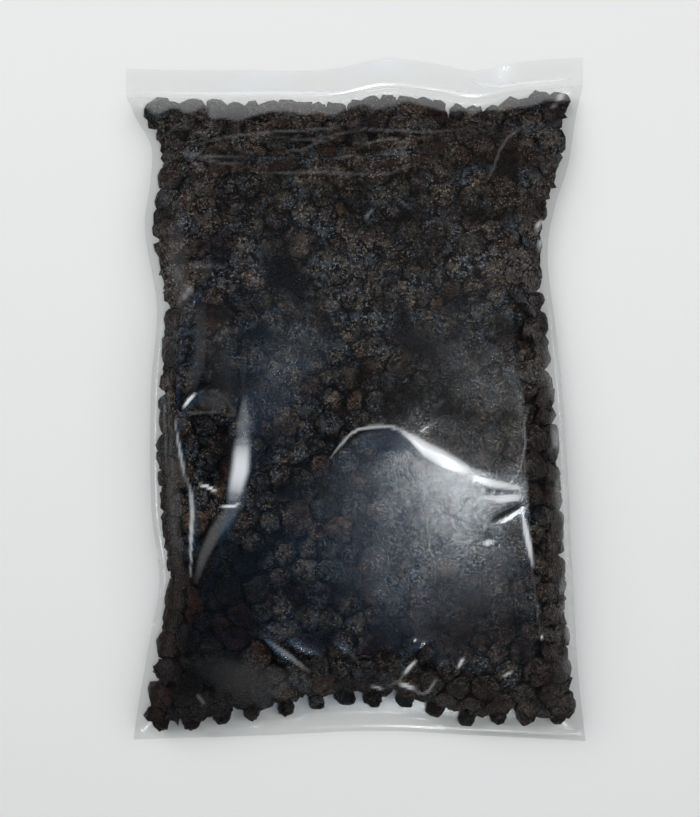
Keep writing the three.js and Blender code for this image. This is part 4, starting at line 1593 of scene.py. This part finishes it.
@dataclass
class Pouch:
    """The pouch's two films and its sealed mouth."""

    surface: FrontFilmSurface
    back_columns: int = 64
    back_rows: int = 92
    mouth_columns: int = 160
    mouth_rows: int = 26
    thickness: float = 0.12
    trimmed: float = 0.4
    seal_overlap: float = 0.1
    seal_lift: float = 0.15
    lip: float = 0.16
    lip_rise: tuple[float, float] = (0, 1.2)
    lip_fall: tuple[float, float] = (1.4, 4)
    flap_waves: tuple[tuple[float, Ripple], ...] = (
        (0.5, Ripple(60, 15, 0, 0.4)), (0.06, Ripple(14, 16, 0, 0.6)))
    flap_rise: float = 0.6
    flap_taut: float = 0.8
    flap_cloud: float = 0.14

    def front(self) -> FilmSheet:
        """Lays the front film over the berries.

        Returns:
            The sheet.
        """
        surface = self.surface
        places = np.stack([surface.x, surface.y, surface.height], axis=-1)
        return FilmSheet("film_front", places, surface.sheen_and_highlights(), surface.taut, self.thickness, True)

    def back(self) -> FilmSheet:
        """Lays the back film, flat on the table and risen to the seam.

        Returns:
            The sheet.
        """
        shape = self.surface.shape
        columns, rows = np.linspace(-1, 1, self.back_columns + 1), np.linspace(-1, 1, self.back_rows + 1)
        u, v = np.meshgrid(columns, rows, indexing="ij")
        x, y = shape.plan(u, v)
        places = np.stack([x, y, shape.back_height(u, v)], axis=-1)
        return FilmSheet("film_back", places, np.zeros_like(u), np.zeros_like(u), self.thickness, False)

    def mouth(self) -> FilmSheet:
        """Lays the fused band and the trimmed flap beyond it, with its raised lip and its long soft waves.

        Returns:
            The sheet.
        """
        shape = self.surface.shape
        columns, rows = np.linspace(-1, 1, self.mouth_columns + 1), np.linspace(0, 1, self.mouth_rows + 1)
        u, run = np.meshgrid(columns, rows, indexing="ij")
        x, y = shape.plan(u, np.ones_like(u))
        along = run * (shape.mouth_flap - self.trimmed)
        lip = self.lip * (smooth_step(*self.lip_rise, along) - smooth_step(*self.lip_fall, along))
        wave = run**1.5 * sum(height * ripple(x, y) for height, ripple in self.flap_waves)
        y = y + self.seal_overlap + along
        z = shape.seam_lift + self.seal_lift + lip + wave + self.flap_rise * run
        # The flap's painted highlights along the listed lines, over its even haze.
        whites = [line.share(x, y) for line in PAINTED_LIGHT_LINES] + [np.full(u.shape, self.flap_cloud)]
        return FilmSheet("mouth_flap", np.stack([x, y, z], axis=-1), np.maximum.reduce(whites),
                         self.flap_taut * np.ones_like(u), 2 * self.thickness, True)


# ---- Studio -------------------------------------------------------------------------------


class Softbox(Enum):
    """The area lights: place, aim and size in millimetres, power, and if gloss mirrors it."""

    KEY = ((-600, 500, 900), (0, 0, 0), (900, 900), 9.0, False)
    FILL = ((700, 200, 900), (0, 0, 0), (900, 900), 6.0, False)
    FRONT = ((88, -32, 860), (30, -29, 20), (180, 60), 0.96, True)
    SPOT = ((70, -122, 860), (30, -53, 20), (60, 34), 0.17, True)


@dataclass
class Studio:
    """The table, the lights and the camera that looks straight down."""

    aim: tuple[float, float] = (-2.1, -3.7)
    camera_height: float = 600.0
    framed_length: float = 286.0
    walls: tuple[float, float, float] = (0.10, 0.10, 0.10)
    ceiling: tuple[float, float, float] = (0.02, 0.025, 0.035)
    wall_top: float = 0.60
    ceiling_edge: float = 0.85
    skylight_edge: tuple[float, float] = (0.17, 0.09)
    far_side_run: tuple[float, float] = (0.16, 0.36)
    skylight: tuple[float, float, float] = (0.10, 0.40, 0.90)
    skylight_way: tuple[float, float, float] = (0.012, -0.054, 0.998)
    far_side: tuple[float, float, float] = (0.26, 0.21, 0.16)
    cool: tuple[float, float, float] = (0.94, 0.985, 1.0)
    backdrop: tuple[float, float, float] = (0.81, 0.81, 0.815)
    sensor: float = 36.0
    table_half: float = 3.0
    table_drop: float = 0.0002

    def table(self) -> None:
        """Lays the pale table."""
        bm = bmesh.new()
        bmesh.ops.create_grid(bm, x_segments=1, y_segments=1, size=self.table_half)
        bmesh.ops.translate(bm, verts=bm.verts, vec=(0, 0, -self.table_drop))
        make_object("table_top", bm, TableFinish().build())

    def lights(self) -> None:
        """Hangs the softboxes."""
        for box in Softbox:
            place, aim, (width, height), power, mirrored = box.value
            lamp = bpy.data.lights.new(box.name.lower() + "_softbox", "AREA")
            lamp.shape = "RECTANGLE"
            lamp.size, lamp.size_y, lamp.energy = width * MM, height * MM, power
            lamp.color = self.cool if mirrored else (1, 1, 1)
            holder = bpy.data.objects.new(lamp.name, lamp)
            holder.location = Vector(place) * MM
            holder.rotation_euler = (Vector(aim) - Vector(place)).to_track_quat("-Z", "Y").to_euler()
            holder.visible_glossy = mirrored
            bpy.context.scene.collection.objects.link(holder)

    def room(self) -> None:
        """Sets the room: dim walls and ceiling, a skylight and a warmer far side, pale where seen."""
        world = bpy.data.worlds.new("room")
        world.use_nodes = True
        graph = Graph(world.node_tree)
        way = graph.add("TexCoord").outputs["Generated"]
        parts = graph.add("SeparateXYZ", {0: way}).outputs
        colour = graph.ramp(parts["Z"], ((self.wall_top, self.walls), (self.ceiling_edge, self.ceiling)))
        apart = graph.add("VectorMath", {0: way, 1: self.skylight_way}, operation="DISTANCE").outputs["Value"]
        under = graph.share(apart, *self.skylight_edge, "SMOOTHSTEP")
        colour = graph.mixed(under, colour, (*self.skylight, 1))
        high = graph.math("GREATER_THAN", parts["Z"], self.ceiling_edge)
        beyond = graph.math("MULTIPLY", high, graph.share(parts["Y"], *self.far_side_run))
        colour = graph.mixed(beyond, colour, (*self.far_side, 1))
        seen = graph.add("LightPath").outputs["Is Camera Ray"]
        colour = graph.mixed(seen, colour, (*self.backdrop, 1))
        graph.tree.links.new(colour, world.node_tree.nodes["Background"].inputs["Color"])
        bpy.context.scene.world = world

    def camera(self) -> None:
        """Sets the camera over the bag."""
        data = bpy.data.cameras.new("camera")
        data.sensor_width = self.sensor
        data.lens = self.sensor * self.camera_height / self.framed_length
        camera = bpy.data.objects.new("camera", data)
        camera.location = Vector((*self.aim, self.camera_height)) * MM
        bpy.context.scene.collection.objects.link(camera)
        bpy.context.scene.camera = camera

    def build(self) -> None:
        """Makes the whole studio."""
        self.table()
        self.lights()
        self.room()
        self.camera()
        bpy.context.scene.view_settings.view_transform = "Standard"


# ---- The bag ------------------------------------------------------------------------------


@dataclass
class BagOfBlackcurrants:
    """The filled bag: its films, its mouth and the berries inside."""

    shape: PouchShape = field(default_factory=PouchShape)
    front_depth: float = 7.5
    back_reach: float = 8.0
    fused_roughness: float = 0.14

    def build(self) -> None:
        """Builds every piece and attaches it to the body."""
        crinkle = crinkle_group()
        skin = BerryFinish().build(crinkle)
        film = FilmFinish().build(crinkle)
        fused = FilmFinish(name="fused_film", taut_roughness=self.fused_roughness).build(crinkle)
        berries = BerryPacking(self.shape).settle()
        LOG.info("packed %d berries", len(berries.radius))
        surface = FrontFilmSurface(self.shape)
        surface.draw_down(berries)
        self._berries(berries, surface, skin)
        self._films(surface, film, fused)

    def _berries(self, berries: Berries, surface: FrontFilmSurface, skin: bpy.types.Material) -> None:
        """Builds the layers of berries.

        Args:
            berries: where they lie.
            surface: the front film over them.
            skin: their finish.
        """
        mesher = BerryMesher(surface)
        x, y, z = berries.centre.T
        top = surface.at(x, y, surface.height)
        is_front = ~berries.is_rim & (top - z < self.front_depth)
        is_back = ~berries.is_rim & ~is_front & (z < self.back_reach)
        is_core = ~berries.is_rim & ~is_front & ~is_back
        for name, chosen, slot, fineness in (
            ("berries_front", is_front, "black_fruit", 2), ("berries_core", is_core, "black_fruit", 2),
            ("berries_back", is_back, "black_fruit", 2), ("berries_rim", berries.is_rim, "brown_fruit", 3),
        ):
            piece = mesher.build(name, berries, chosen, skin, fineness)
            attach(piece, BODY)
            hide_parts(*(rim_nodes() if name == "berries_rim" else ["packed_blackcurrants"]))

    def _films(self, surface: FrontFilmSurface, film: bpy.types.Material, fused: bpy.types.Material) -> None:
        """Builds the films and the mouth.

        Args:
            surface: the lie of the front film.
            film: the clear film's finish.
            fused: the fused film's finish.
        """
        pouch = Pouch(surface)
        for sheet, finish, node, slot in (
            (pouch.front(), film, "pouch", "clear_film"), (pouch.back(), film, "pouch", "clear_film"),
            (pouch.mouth(), fused, "sealed_mouth", "fused_film"),
        ):
            piece = sheet.build(finish)
            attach(piece, BODY)
            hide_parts(node)
            LOG.info("%s: %d faces", piece.name, len(piece.data.polygons))


def main() -> None:
    """Builds the studio and the bag."""
    logging.basicConfig(level=logging.INFO, format="%(name)s: %(message)s")
    Studio().build()
    BagOfBlackcurrants().build()


if __name__ == "__main__":
    main()
